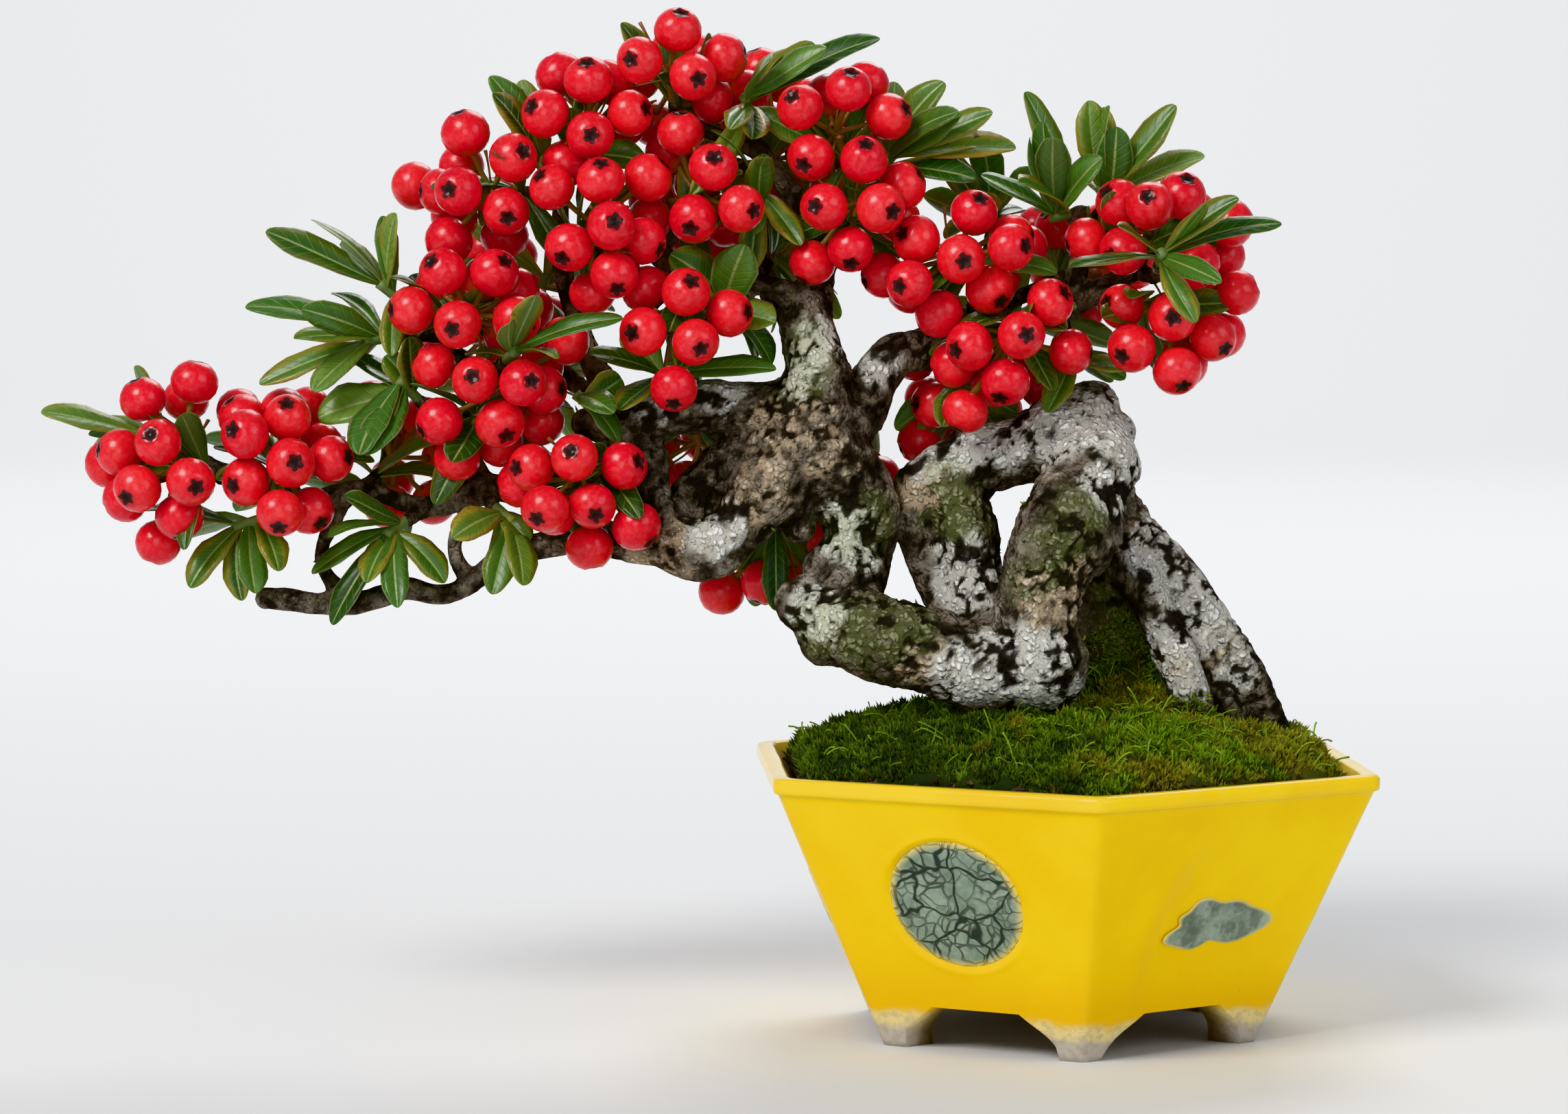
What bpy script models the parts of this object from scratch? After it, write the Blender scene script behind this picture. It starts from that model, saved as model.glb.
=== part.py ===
"""Firethorn bonsai in its six-sided glazed pot.

An old trunk folds over itself, rests low on the moss and reaches far out to the left as a
half cascade.  Short spurs on its twigs carry bunches of round red berries and sprays of
small blunt leaves.  Lengths in the tables are millimetres; the pot's axis is x = y = 0 and
the table top is z = 0, and the whole part is shifted at the end so that its own box stands
on the origin.
"""
import bpy
import bmesh
import numpy as np
from mathutils import Matrix, Vector

MM = 0.001
PART_NAME = "firethorn_bonsai"

# Pot
POT_TURN_DEG = 3.1
POT_HEIGHT = 39.7
RIM_CORNER_RADIUS = 50.0
FOOT_CORNER_RADIUS = 31.0
LIP_HEIGHT = 2.5
LIP_PROUD = 0.9
WALL_AT_RIM = 3.0
WALL_AT_FLOOR = 3.6
FLOOR_TOP = 10.0
UNDERSIDE_HEIGHT = 7.0
FOOT_HEIGHT = 6.6
FOOT_RING_WIDTH = 5.2
FOOT_WING = 10.3
FOOT_TIP_HALF = 2.4
ARCH_POINTS = 7
DRAIN_HOLE_RADIUS = 4.5
PANEL_RADIUS = 10.3
PANEL_DEPTH = 0.35
PANEL_CENTRE_HEIGHT = 22.5
CORNER_ROUNDING = 0.9
LIP_ROUNDING = 0.7
LIP_OVERLAP = 0.4
LIP_SLANT = 0.3
CUTTER_ROOM = 2.0

# Ground in the pot
SEAT_GAP = 0.3
WALL_GAP = 0.45
SECTORS = 18
RINGS = 5
MOSS_EDGE_HEIGHT = 39.0
MOSS_DOME = 8.5
MOSS_REACH = 44.0
MOSS_HEAP = 10.5
MOSS_HEAP_PLACE = (11.0, 7.0)
MOSS_HEAP_SPREAD = 5.5
MOSS_THICKNESS = 2.6
MOSS_TUFT = 1.0
GROUND_EDGE = MOSS_EDGE_HEIGHT - MOSS_THICKNESS
GROUND_GAP = 0.4
HOLE_ROOM = 1.1

# Growth
BARK_RELIEF = 0.13
RING_STEP = 4.5
FLOW_SIZE = 0.5
TRUNK_FACES = 1860
TWIG_RADIUS = 1.25
SHOOT_RADIUS = 0.95
SHOOT_LENGTH = 4.5
TRIM_ROOM = 0.7
BERRY_RADIUS = 3.65
STALK_RADIUS = 0.5
STALK_CLEARANCE = 0.35
OWN_BERRY_ROOM = 0.15
OTHER_BERRY_ROOM = 0.6
BERRY_PROFILE = [(-0.97, 0.15), (-0.6, 0.82), (0.28, 0.97), (0.86, 0.45)]
DOME_RADIUS = 9.0
LEAF_THICKNESS = 0.7
LEAF_ROWS = (0.0, 0.4, 0.82, 1.0)
LEAF_FOOT_ROOM = 1.3
BLADE_ROOM = 0.8
CLEARANCE = 0.45
SEED = 7

# Limbs of the one trunk: x, y, z and radius along each
LIMBS = {
    "leg_back": [(10, 8, 24, 6.5), (10, 8, 40, 7), (10, 8, 51, 6), (9, 8, 61, 5.3), (8, 6, 70, 5.1),
                 (5.8, 3, 79, 5.5), (4.8, 1, 86, 5.6), (4.6, 0.5, 91, 4.2)],
    "leg_front": [(4.5, 0, 87, 5.6), (3.8, -3.5, 80.5, 6.7), (1, -7, 74.5, 6.9), (-2, -9, 69, 6.4),
                  (-3.6, -10, 62.5, 6.1), (-5, -10.5, 56, 6.3)],
    "log": [(-3.5, -10.5, 54.5, 6.3), (-11, -10.5, 54, 6.1), (-19, -10.5, 56, 5.6), (-26.5, -10, 58.3, 5.5),
            (-33, -8.5, 61, 5.5), (-37.5, -7.5, 63, 4.2)],
    "stem_left": [(-34, -8, 58, 3.8), (-32.8, -6.5, 62, 5.6), (-31.5, -3, 66.5, 5.9), (-29.8, 0, 71, 5.7),
                  (-30, -1, 77, 5.9), (-33.5, -3, 83, 6.2), (-37, -4, 88, 5.7)],
    "beam": [(7, 0.5, 87.5, 4.3), (4, 0.5, 88, 5.4), (-1, 1, 86, 5.8), (-8, 2, 84, 5.2),
             (-15, 3, 82, 4.7), (-20.5, 3, 79.5, 4.1)],
    "strand_left": [(-20, 3, 80, 3.7), (-21.5, 3, 75, 3.4), (-19, 1, 68.5, 3.2), (-16.5, -2, 62.5, 3.3),
                    (-14.5, -6, 57, 3.3)],
    "strand_right": [(-17, 2.5, 81.5, 3.7), (-14, 1, 76, 3.9), (-12.8, -1, 69.5, 4.2), (-12, -4, 62.5, 4.0),
                     (-12, -8, 57, 3.7)],
    "root_long": [(8, 4, 75, 4.2), (12, 3, 71.5, 3.6), (17.5, 3, 66, 3.1), (22.5, 2, 59.5, 2.9),
                  (28, 2, 51, 2.8), (32, 2, 42, 2.5), (33.5, 2, 33, 1.9)],
    "root_mid": [(9, 4, 71, 3.9), (12.5, 0, 64, 3.4), (16, -3, 57, 3.2), (19, -5, 48, 2.9),
                 (20.5, -6, 34, 2.2)],
    "root_between": [(13, 3, 67, 3.0), (17.5, 2, 60, 3.1), (21, 1, 54, 3.2), (24, 0, 47, 3.1),
                     (26, -1, 39, 2.4)],
    "root_back": [(9, 8, 68, 4.6), (15, 14, 58, 4), (21, 18, 48, 3.2), (24, 20, 34, 2.4)],
    "root_left": [(9, 9, 60, 4.7), (3, 11, 49, 4.1), (-3, 13, 40, 3.1), (-5, 14, 31, 2.3)],
    "head": [(-36, -4, 85.5, 5.6), (-36, -4, 92, 5.3), (-35.5, -3, 97, 5.0), (-37, -2, 102, 4.2),
             (-36.5, -1, 106.5, 3.3), (-35.5, 0, 111, 2.6), (-36.5, 0, 116, 2.2), (-38.5, 0, 121, 1.7),
             (-42, 1, 126, 1.4), (-46, 1, 131, 1.2)],
    "limb_right": [(-34, -3, 86.5, 4.8), (-29.5, -1, 91, 4.1), (-27, 0, 95.5, 3.7), (-24, 1, 99, 3.2),
                   (-18, 2, 99.5, 2.8), (-12, 2, 100.5, 2.6), (-6, 2, 103, 2.3), (0, 2, 105.5, 2.0),
                   (5.5, 3, 108, 1.7), (11, 3, 111, 1.4)],
    "limb_left": [(-37, -4, 86, 5.6), (-43, -5, 79.5, 5.0), (-47.5, -6, 73.5, 4.4), (-53, -6, 70.5, 4.1),
                  (-58, -6, 73, 3.8), (-60, -6, 78, 3.5), (-61, -5, 83.5, 3.4), (-64, -5, 88, 3.4),
                  (-69, -4, 89, 2.5)],
    "limb_upper": [(-37, -3, 91, 4.6), (-46.5, -4, 91.5, 3.6), (-54.5, -4, 91.3, 3.4),
                   (-62.5, -5, 89.5, 3.2)],
    "limb_behind": [(-42, -3, 86, 4.6), (-47.5, -1.5, 82.5, 4.4), (-52, -1, 79, 4.3), (-56, -2.5, 75, 3.8)],
    "cascade": [(-54, -6, 71, 3.4), (-63, -5, 71.5, 2.6), (-68.5, -5, 73, 2.4), (-73, -5, 72, 2.1),
                (-78, -5, 70.5, 1.8), (-83, -4, 68, 1.7), (-87, -4, 65, 1.6), (-91, -4, 64, 1.5),
                (-95.5, -4, 65, 1.5), (-100, -4, 63.5, 1.5), (-105, -4, 62.5, 1.5), (-110, -4, 63, 1.5),
                (-116, -3, 63.5, 1.9)],
    "fork_left": [(-60, -6, 76, 3.0), (-67, -3, 79.5, 2.2), (-75, -1, 77.5, 1.9), (-84, 0, 79.5, 1.8),
                  (-93, 1, 76.5, 1.6), (-102, 0, 79, 1.5), (-111, -2, 77, 1.4), (-119, 0, 80, 1.3)],
    "tie_left": [(-86, -3, 65.5, 1.5), (-88.5, -3, 71, 1.2), (-85.5, -1, 78.5, 1.3)],
    "tie_far": [(-103, -4, 62.5, 1.4), (-108, -3, 69, 1.2), (-105, -1, 78, 1.3)],
    "rise_left": [(-84, 0, 79, 1.7), (-87.5, 2, 86, 1.6), (-85.5, 3, 94, 1.5), (-91, 2, 102, 1.3)],
    "rise_top": [(-63, -5, 87, 2.4), (-67, -1, 95, 1.9), (-71, 1, 104, 1.7), (-73, 2, 113, 1.5),
                 (-73, 3, 122, 1.3)],
    "rise_mid": [(-36.5, -1, 106, 2.2), (-44, -1, 109.5, 1.7), (-52, -1, 111, 1.5), (-59, 1, 113, 1.3)],
    "rise_crest": [(-44, 1, 129, 1.3), (-50, 3, 131, 1.2), (-56, 4, 133, 1.1)],
    "rise_centre": [(-35.5, 0, 110, 1.8), (-31.5, 2, 116, 1.5), (-29, 3, 122, 1.3)],
    "rise_right": [(-12, 2, 100.5, 1.8), (-12, 3, 107, 1.5), (-10, 4, 113, 1.3)],
    "rise_edge": [(2, 2.5, 106.5, 1.6), (3, 4, 112, 1.4), (4, 5, 117, 1.2)],
    "back_left": [(-60, -5, 81, 2.4), (-64, 3, 88, 1.9), (-72, 10, 95, 1.6), (-79, 14, 101, 1.3)],
    "back_mid": [(-36, -3, 97, 2.8), (-39, 5, 103, 2.1), (-43, 11, 109, 1.7), (-46, 15, 115, 1.3)],
    "back_right": [(-22, 1, 99.5, 2.2), (-16, 8, 103, 1.8), (-8, 13, 106, 1.5), (-1, 16, 109, 1.2)],
    "back_crest": [(-43, 11, 109, 1.5), (-44, 12, 118, 1.3), (-45, 11, 126, 1.1)],
    "heel": [(-37.5, -4, 85, 5.0), (-39.3, -4.5, 79, 4.3), (-38.3, -4.5, 74, 2.9)],
}

# Berry bunches: limb and point on it that bears the spur, the hub where the stalks part, and
# the berries as x and z seen from the front; a bunch at the back has a number of them instead
BUNCHES = {
    "berries_far_left_edge": ("fork_left", 7, (-129, -3, 83),
                              [(-133.5, 92.5), (-126, 95), (-130, 86), (-125.5, 80.5), (-127.5, 76.5)]),
    "berries_far_left": ("fork_left", 6, (-114, -4, 83),
                         [(-119, 90), (-112, 90), (-118.5, 81), (-111.5, 83.5), (-106, 84), (-109, 76.5)]),
    "berries_left_high": ("rise_left", 3, (-86, -6, 105),
                          [(-89, 111), (-82, 110.5), (-79, 104.5), (-87, 103.5), (-94, 105.5)]),
    "berries_left_low": ("rise_left", 1, (-83, -6, 93),
                         [(-91, 97.5), (-84.5, 95.5), (-90, 89.5), (-80.5, 88.5), (-75, 94), (-72, 101)]),
    "berries_left_under": ("fork_left", 1, (-70, -9, 82),
                           [(-77, 84), (-70.5, 84.5), (-67.5, 78), (-63.5, 83)]),
    "berries_top_left_edge": ("rise_top", 4, (-83, -2, 123),
                              [(-86.5, 131), (-87, 122.5), (-80, 120), (-89, 115.5), (-79, 127.5)]),
    "berries_top_left": ("rise_top", 3, (-68, -7, 118),
                         [(-74, 123), (-67, 124.5), (-60, 124.5), (-71, 114.5), (-60.5, 115.5), (-68, 108)]),
    "berries_top_left_crest": ("rise_top", 4, (-69, -1, 132),
                               [(-75, 133.5), (-68.5, 138.5), (-63, 134), (-67.5, 130.5)]),
    "berries_crest": ("rise_crest", 2, (-57, 0, 139), [(-61, 141), (-56, 145.5), (-53.5, 139), (-49, 142)]),
    "berries_crest_low": ("rise_mid", 3, (-53, -3, 123), [(-55.5, 131), (-50.5, 126), (-53.5, 118.5)]),
    "berries_pair": ("rise_mid", 2, (-56, -8, 104), [(-60.5, 102.5), (-53, 101)]),
    "berries_crest_right": ("rise_centre", 2, (-33, -2, 131),
                            [(-38, 134.5), (-31, 137), (-25.5, 133.5), (-36.5, 127.5)]),
    "berries_crest_right_low": ("rise_centre", 1, (-30, -5, 121),
                                [(-29, 127), (-34.5, 120), (-26.5, 120), (-31, 114.5)]),
    "berries_right_high": ("rise_right", 2, (-16, -3, 113),
                           [(-26, 110.5), (-21, 115.5), (-15.5, 113), (-13, 119.5), (-7.5, 116)]),
    "berries_right_low": ("limb_right", 6, (-8, -6, 102), [(-18, 105), (-6.5, 102), (1, 99.5)]),
    "berries_far_right_high": ("limb_right", 9, (14, -1, 116),
                               [(8, 121), (17, 122), (8.5, 114), (24.5, 118), (19, 112)]),
    "berries_far_right": ("limb_right", 8, (16, -1, 105),
                          [(8.5, 106), (15.5, 104.5), (21.5, 101.5), (25.5, 108)]),
    "berries_under_right": ("limb_right", 4, (-11, 10, 92), [(-19, 92), (-15, 86.5), (-8, 90), (-2, 94)]),
    "berries_hollow": ("limb_upper", 2, (-53, 6, 86), [(-52.5, 86), (-55, 79.5)]),
    "berries_behind_trunk": ("back_mid", 0, (-30, 11, 86), [(-29.5, 83.5)]),
    "berries_behind_low": ("limb_left", 1, (-41, 8, 72), [(-38.5, 70.5), (-46, 74)]),
    "berries_left_back": ("fork_left", 5, (-98, 5, 84), [(-97.5, 87), (-101.5, 91.5)]),
    "berries_back_left": ("back_left", 3, (-84, 20, 104), 5),
    "berries_back_mid": ("back_mid", 3, (-50, 22, 117), 5),
    "berries_back_right": ("back_right", 3, (4, 21, 112), 5),
    "berries_back_crest": ("back_crest", 2, (-40, 16, 130), 4),
}

# Leaf sprays: limb and point that bears the shoot, the head of the shoot, leaf width and leaf tips
SPRAYS = {
    "leaves_far_left_tip": ("fork_left", 7, (-134, 1, 87), 4.4,
                            [(-149, -1, 90.5), (-137, 8, 97), (-143, 9, 84)]),
    "leaves_far_left_low": ("fork_left", 6, (-120, -4, 74), 4.6,
                            [(-138, -5, 76), (-128, -9, 67.5), (-117, -8, 64.5), (-131, 6, 71)]),
    "leaves_far_left_back": ("fork_left", 6, (-115, 7, 82), 5.0,
                             [(-127, 14, 86), (-121, 19, 77), (-107, 20, 86), (-113, 15, 93),
                              (-103, 13, 78)]),
    "leaves_left_top": ("rise_left", 3, (-99, -1, 109), 4.6,
                        [(-115.5, -4, 117), (-96.5, -6, 119.5), (-106, 6, 115)]),
    "leaves_left_mid": ("rise_left", 3, (-101, -3, 101), 4.4,
                        [(-118.5, -5, 106), (-116.5, -6, 95), (-111, -11, 101), (-109, 9, 104)]),
    "leaves_left_broad": ("rise_left", 1, (-96, -5, 95), 6.4,
                          [(-104, -10, 84.5), (-97, -14, 85), (-108, -6, 90)]),
    "leaves_drop_left": ("fork_left", 4, (-98, -5, 73), 4.6,
                         [(-106, -8, 60), (-89.5, -8, 66), (-96, -13, 63), (-110, -7, 70)]),
    "leaves_drop_mid": ("fork_left", 3, (-80, -6, 75), 5.2,
                        [(-81.5, -9, 63.5), (-76, -14, 66), (-88, -12, 73)]),
    "leaves_slash": ("rise_left", 2, (-79, -14.5, 99.5), 4.4, [(-63.5, -18, 107)]),
    "leaves_crest_left": ("rise_top", 4, (-76, -1, 127), 5.4, [(-85.5, -3, 137.5), (-79, 6, 139)]),
    "leaves_heart": ("limb_upper", 2, (-58, -7, 96), 4.8, [(-41.5, -9, 97), (-64, -13, 91), (-70, -8, 99)]),
    "leaves_heart_high": ("rise_mid", 1, (-50, -4, 105), 6.0,
                          [(-41.5, -9, 103.5), (-46, -8, 115), (-59, -8, 109)]),
    "leaves_mid": ("limb_left", 7, (-70, -9, 93), 5.0, [(-63, -12, 84.5)]),
    "leaves_dark": ("head", 8, (-44, -3, 121), 4.6, [(-43.5, -8, 128), (-47, -9, 113), (-38, -10, 115)]),
    "leaves_crest": ("head", 9, (-46, -1, 136), 5.0,
                     [(-34, -5, 143), (-51, -2, 148), (-45, -10, 130), (-26.5, -1, 145), (-43.5, -6, 145)]),
    "leaves_crest_right": ("rise_centre", 2, (-25, 1, 128), 5.2,
                           [(-10, -2, 134), (-6.5, 1, 129), (-17, -1, 138.5), (-14, -7, 124), (-24, 8, 139)]),
    "leaves_right_a": ("rise_right", 2, (-11, 3, 119), 4.6,
                       [(-17, 0, 129), (-9, -2, 130), (-3, 9, 126), (-20, 7, 122)]),
    "leaves_right_b": ("rise_edge", 2, (-1, 1, 119), 5.4,
                       [(-2.5, -2, 133), (5.5, -5, 127.5), (-9, 2, 135.5), (-6.5, -9, 124)]),
    "leaves_far_top": ("rise_edge", 2, (6, 3, 123), 5.6,
                       [(4, 2, 136), (17, 0, 135), (21, 1, 128), (9, 12, 131)]),
    "leaves_far_right": ("limb_right", 9, (13.5, -14.5, 113.5), 4.2,
                         [(24, -18, 121.5), (30.5, -15, 118), (18, -19, 104)]),
    "leaves_low_right": ("limb_right", 7, (2, -2, 98), 4.0, [(9.5, -5, 97), (-4, -9, 94), (8, 6, 95)]),
    "leaves_under_right": ("limb_right", 5, (-12, 7, 98), 5.0, [(-24, 10, 94), (-14, 18, 90), (-2, 12, 97)]),
    "leaves_back_left": ("back_left", 2, (-78, 17, 96), 5.2,
                         [(-92, 21, 93), (-81, 29, 90), (-68, 26, 98), (-88, 24, 88), (-72, 20, 86)]),
    "leaves_back_left_high": ("back_left", 3, (-76, 13, 110), 5.0,
                              [(-88, 16, 118), (-73, 21, 121), (-64, 19, 113), (-90, 10, 112)]),
    "leaves_back_mid": ("back_mid", 3, (-42, 19, 112), 5.4,
                        [(-30, 26, 116), (-43, 32, 108), (-35, 18, 124), (-32, 25, 104), (-56, 24, 106)]),
    "leaves_back_right": ("back_right", 2, (-6, 18, 103), 5.2,
                          [(0, 14, 117), (-18, 24, 106), (9, 25, 100), (-14, 20, 94), (-8, 31, 99)]),
    "leaves_back_crest": ("back_crest", 2, (-50, 13, 128), 5.0,
                          [(-61, 17, 134), (-52, 22, 138), (-64, 16, 124), (-50, 26, 126)]),
}

COLOURS = {
    "pot": ((0.80, 0.56, 0.01), 0.18),
    "soil": ((0.045, 0.030, 0.020), 0.95),
    "moss": ((0.10, 0.20, 0.02), 0.90),
    "trunk": ((0.17, 0.16, 0.13), 0.85),
    "berries": ((0.70, 0.012, 0.02), 0.28),
    "leaves": ((0.07, 0.17, 0.035), 0.50),
}


class Thicket:
    """Balls that stand for everything placed so far, each with the node that owns it."""

    def __init__(self):
        self.centres = np.zeros((0, 3))
        self.radii = np.zeros(0)
        self.owners = np.zeros(0, dtype=object)

    def add(self, centres, radii, owner):
        self.centres = np.vstack([self.centres, centres])
        self.radii = np.concatenate([self.radii, np.broadcast_to(radii, len(centres))])
        self.owners = np.concatenate([self.owners, np.full(len(centres), owner, dtype=object)])

    def gap(self, centres, radius, owner, seat=None):
        """Least gap to what others own, leaving out the end of the own twig at its seat."""
        others = self.owners != owner
        if owner == "trunk":
            others &= ~np.char.startswith(self.owners.astype(str), "twig_")
        if seat is not None:
            near_seat = np.linalg.norm(self.centres - seat, axis=1) < 3.0
            others &= ~(near_seat & (self.owners == "twig_" + owner))
        apart = np.linalg.norm(centres[:, None] - self.centres[others][None], axis=2)
        return float((apart - self.radii[others][None] - radius).min())


def smooth_path(points, step):
    """Points along a Catmull-Rom curve through the given ones, about a step apart."""
    points = np.asarray(points, float)
    ends = np.vstack([2 * points[0] - points[1], points, 2 * points[-1] - points[-2]])
    path = []
    for i in range(len(points) - 1):
        a, b, c, d = ends[i:i + 4]
        pieces = max(1, int(round(np.linalg.norm(c[:3] - b[:3]) / step)))
        for t in np.arange(pieces) / pieces:
            path.append(0.5 * (2 * b + (c - a) * t + (2 * a - 5 * b + 4 * c - d) * t ** 2
                               + (3 * b - a - 3 * c + d) * t ** 3))
    path.append(points[-1])
    return np.array(path)


def unit(vector):
    vector = np.asarray(vector, float)
    return vector / np.linalg.norm(vector)


def along(start, end, step=0.6):
    """Points on a straight run from start to end."""
    count = max(2, int(np.linalg.norm(np.subtract(end, start)) / step) + 1)
    return np.linspace(start, end, count)


def settle_berries(limb_balls):
    """Place the berries of all bunches as a dome over each hub, then ease them apart."""
    places = []
    owners = []
    for name, (limb, index, hub, berries) in BUNCHES.items():
        hub = np.array(hub, float)
        if isinstance(berries, int):
            for i in range(berries):
                turn = i * 2.39996
                lift = 0.15 + 0.85 * (i + 0.5) / berries
                spread = np.sqrt(1 - lift ** 2)
                way = np.array([spread * np.cos(turn), lift, spread * np.sin(turn)])
                places.append(hub + DOME_RADIUS * way)
                owners.append(name)
            continue
        side = 1.0 if hub[1] > 3.0 else -1.0
        for x, z in berries:
            reach = DOME_RADIUS ** 2 - (x - hub[0]) ** 2 - (z - hub[2]) ** 2
            places.append(np.array([x, hub[1] + side * np.sqrt(max(reach, 4.0)), z]))
            owners.append(name)
    places = np.array(places)
    owners = np.array(owners, dtype=object)
    same = owners[:, None] == owners[None]
    wanted = 2 * BERRY_RADIUS + np.where(same, OWN_BERRY_ROOM, OTHER_BERRY_ROOM)
    np.fill_diagonal(wanted, 0.0)
    for _ in range(400):
        away = places[:, None] - places[None]
        distance = np.linalg.norm(away, axis=2) + np.eye(len(places))
        short = np.clip(wanted - distance, 0, None)
        push = (away / distance[..., None] * short[..., None]).sum(axis=1) * 0.4
        away = places[:, None] - limb_balls[None, :, :3]
        distance = np.linalg.norm(away, axis=2)
        short = np.clip(BERRY_RADIUS + CLEARANCE + limb_balls[None, :, 3] - distance, 0, None)
        nearest = short.argmax(axis=1)
        rows = np.arange(len(places))
        push += (away / distance[..., None])[rows, nearest] * short[rows, nearest][:, None] * 0.6
        places += push * np.array([0.4, 1.0, 0.4])
    return places, owners


def blade_points(foot, tip, width, normal, arch, rows, columns):
    """Grid of points on a leaf: an arched midrib and a blunt outline widest past the middle."""
    t = np.asarray(rows)[:, None]
    s = np.linspace(-1, 1, columns)[None, :]
    run = np.subtract(tip, foot)
    length = np.linalg.norm(run)
    ahead = run / length
    across = unit(np.cross(ahead, normal))
    up = np.cross(across, ahead)
    half = 0.5 * width * np.clip(np.sin(np.pi * np.clip(t, 0, 1) ** 1.25), 0, None) ** 0.75
    lift = arch * length * 4 * t * (1 - t) + 0.22 * half * np.abs(s)
    return (np.asarray(foot, float) + t[..., None] * run + (half * s)[..., None] * across
            + lift[..., None] * up)


def turned_about(vector, axis, degrees):
    return np.array(Matrix.Rotation(np.radians(degrees), 3, Vector(axis)) @ Vector(vector))


def plan_growth():
    """Work out twigs, stalks and leaves so that no node touches another."""
    random = np.random.default_rng(SEED)
    limb_balls = np.vstack([smooth_path(points, 1.2) for points in LIMBS.values()])
    berries, berry_owners = settle_berries(limb_balls)
    thicket = Thicket()
    thicket.add(limb_balls[:, :3], limb_balls[:, 3] * (1 + BARK_RELIEF), "trunk")
    thicket.add(berries, BERRY_RADIUS, "berry")
    thicket.owners[len(limb_balls):] = berry_owners
    homes = {name: entry[:3] for name, entry in {**BUNCHES, **SPRAYS}.items()}
    plan = {}
    for name, (limb, index, hub) in homes.items():
        start = np.array(LIMBS[limb][index][:3], float)
        hub = np.array(hub, float)
        best = None
        for swing in range(40):
            bend = random.normal(0, 0.25 + 0.12 * swing, 3) * (swing > 0)
            middle = (start + hub) / 2 + bend
            ahead = unit(hub - middle)
            room = np.linalg.norm(hub - start) - LIMBS[limb][index][3] * (1 + BARK_RELIEF) - 0.8
            run = min(SHOOT_LENGTH, room)
            seat = hub - ahead * run
            twig = np.vstack([along(start, middle), along(middle, seat)])
            gap = min(thicket.gap(twig, TWIG_RADIUS, "trunk"),
                      thicket.gap(along(seat, hub), SHOOT_RADIUS, name))
            if best is None or gap > best[0]:
                best = (gap, middle, seat, ahead)
            if gap > CLEARANCE:
                break
        middle, seat, ahead = best[1:]
        plan[name] = {"start": start, "middle": middle, "seat": seat, "ahead": ahead, "hub": hub}
        thicket.add(np.vstack([along(start, middle), along(middle, seat)]), TWIG_RADIUS, "twig_" + name)
        thicket.add(along(seat + ahead * 0.8, hub), SHOOT_RADIUS, name)
    for name in BUNCHES:
        entry = plan[name]
        entry["stalks"] = []
        for berry in berries[berry_owners == name]:
            best = None
            for swing in range(16):
                knee = entry["hub"] - entry["ahead"] * SHOOT_LENGTH * 0.12 * (swing % 6)
                near = berry - unit(berry - knee) * BERRY_RADIUS * 0.8
                gap = thicket.gap(along(knee, near), STALK_RADIUS, name, entry["seat"])
                if best is None or gap > best[0]:
                    best = (gap, knee)
                if gap > STALK_CLEARANCE:
                    break
            entry["stalks"].append((best[1], berry))
            thicket.add(along(best[1], berry), STALK_RADIUS, name)
    ways = ((1, 0), (-1, 0), (0, 1), (0, -1), (0.7, 0.7), (-0.7, 0.7), (0.7, -0.7), (-0.7, -0.7))
    swings = [(0, 0)] + [(a * k, b * k) for k in (12, 24, 38, 55, 75) for a, b in ways]
    for name, (limb, index, hub, width, tips) in SPRAYS.items():
        entry = plan[name]
        entry["leaves"] = []
        for number, tip in enumerate(tips):
            room = np.linalg.norm(entry["hub"] - entry["seat"]) - LEAF_FOOT_ROOM
            foot = entry["hub"] - entry["ahead"] * max(room, 0.0) * number / len(tips)
            run = np.subtract(tip, foot)
            face = unit([random.normal(0, 0.25), -0.75 if tip[1] < 5 else 0.75, 0.75])
            own_width = width * random.uniform(0.88, 1.12)
            arch = random.uniform(0.02, 0.09)
            best = None
            for shrink in (1.0, 0.86, 0.72):
                for yaw, pitch in swings:
                    turned = turned_about(run, (0, 0, 1), yaw)
                    turned = turned_about(turned, unit(np.cross(turned, (0, 0, 1))), pitch)
                    grid = blade_points(foot, foot + turned * shrink, own_width * (0.5 + 0.5 * shrink), face,
                                        arch, np.linspace(0, 1, 13), 5)
                    gap = thicket.gap(grid[1:].reshape(-1, 3), BLADE_ROOM, name, entry["seat"])
                    if best is None or gap > best[0]:
                        best = (gap, foot + turned * shrink, own_width * (0.5 + 0.5 * shrink))
                    if gap > CLEARANCE:
                        break
                if best[0] > CLEARANCE:
                    break
            if best[0] < 0.1:
                continue
            entry["leaves"].append((foot, best[1], best[2], face, arch))
            grid = blade_points(foot, best[1], best[2], face, arch, np.linspace(0, 1, 13), 5)
            thicket.add(grid.reshape(-1, 3), BLADE_ROOM, name)
    return plan


def material(name, colour, roughness):
    made = bpy.data.materials.new(name)
    made.use_nodes = True
    shader = made.node_tree.nodes["Principled BSDF"]
    shader.inputs["Base Color"].default_value = (*colour, 1.0)
    shader.inputs["Roughness"].default_value = roughness
    return made


def new_collection(name):
    made = bpy.data.collections.new(name)
    bpy.context.scene.collection.children.link(made)
    return made


def new_object(name, mesh, collection):
    made = bpy.data.objects.new(name, mesh)
    collection.objects.link(made)
    return made


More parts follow.
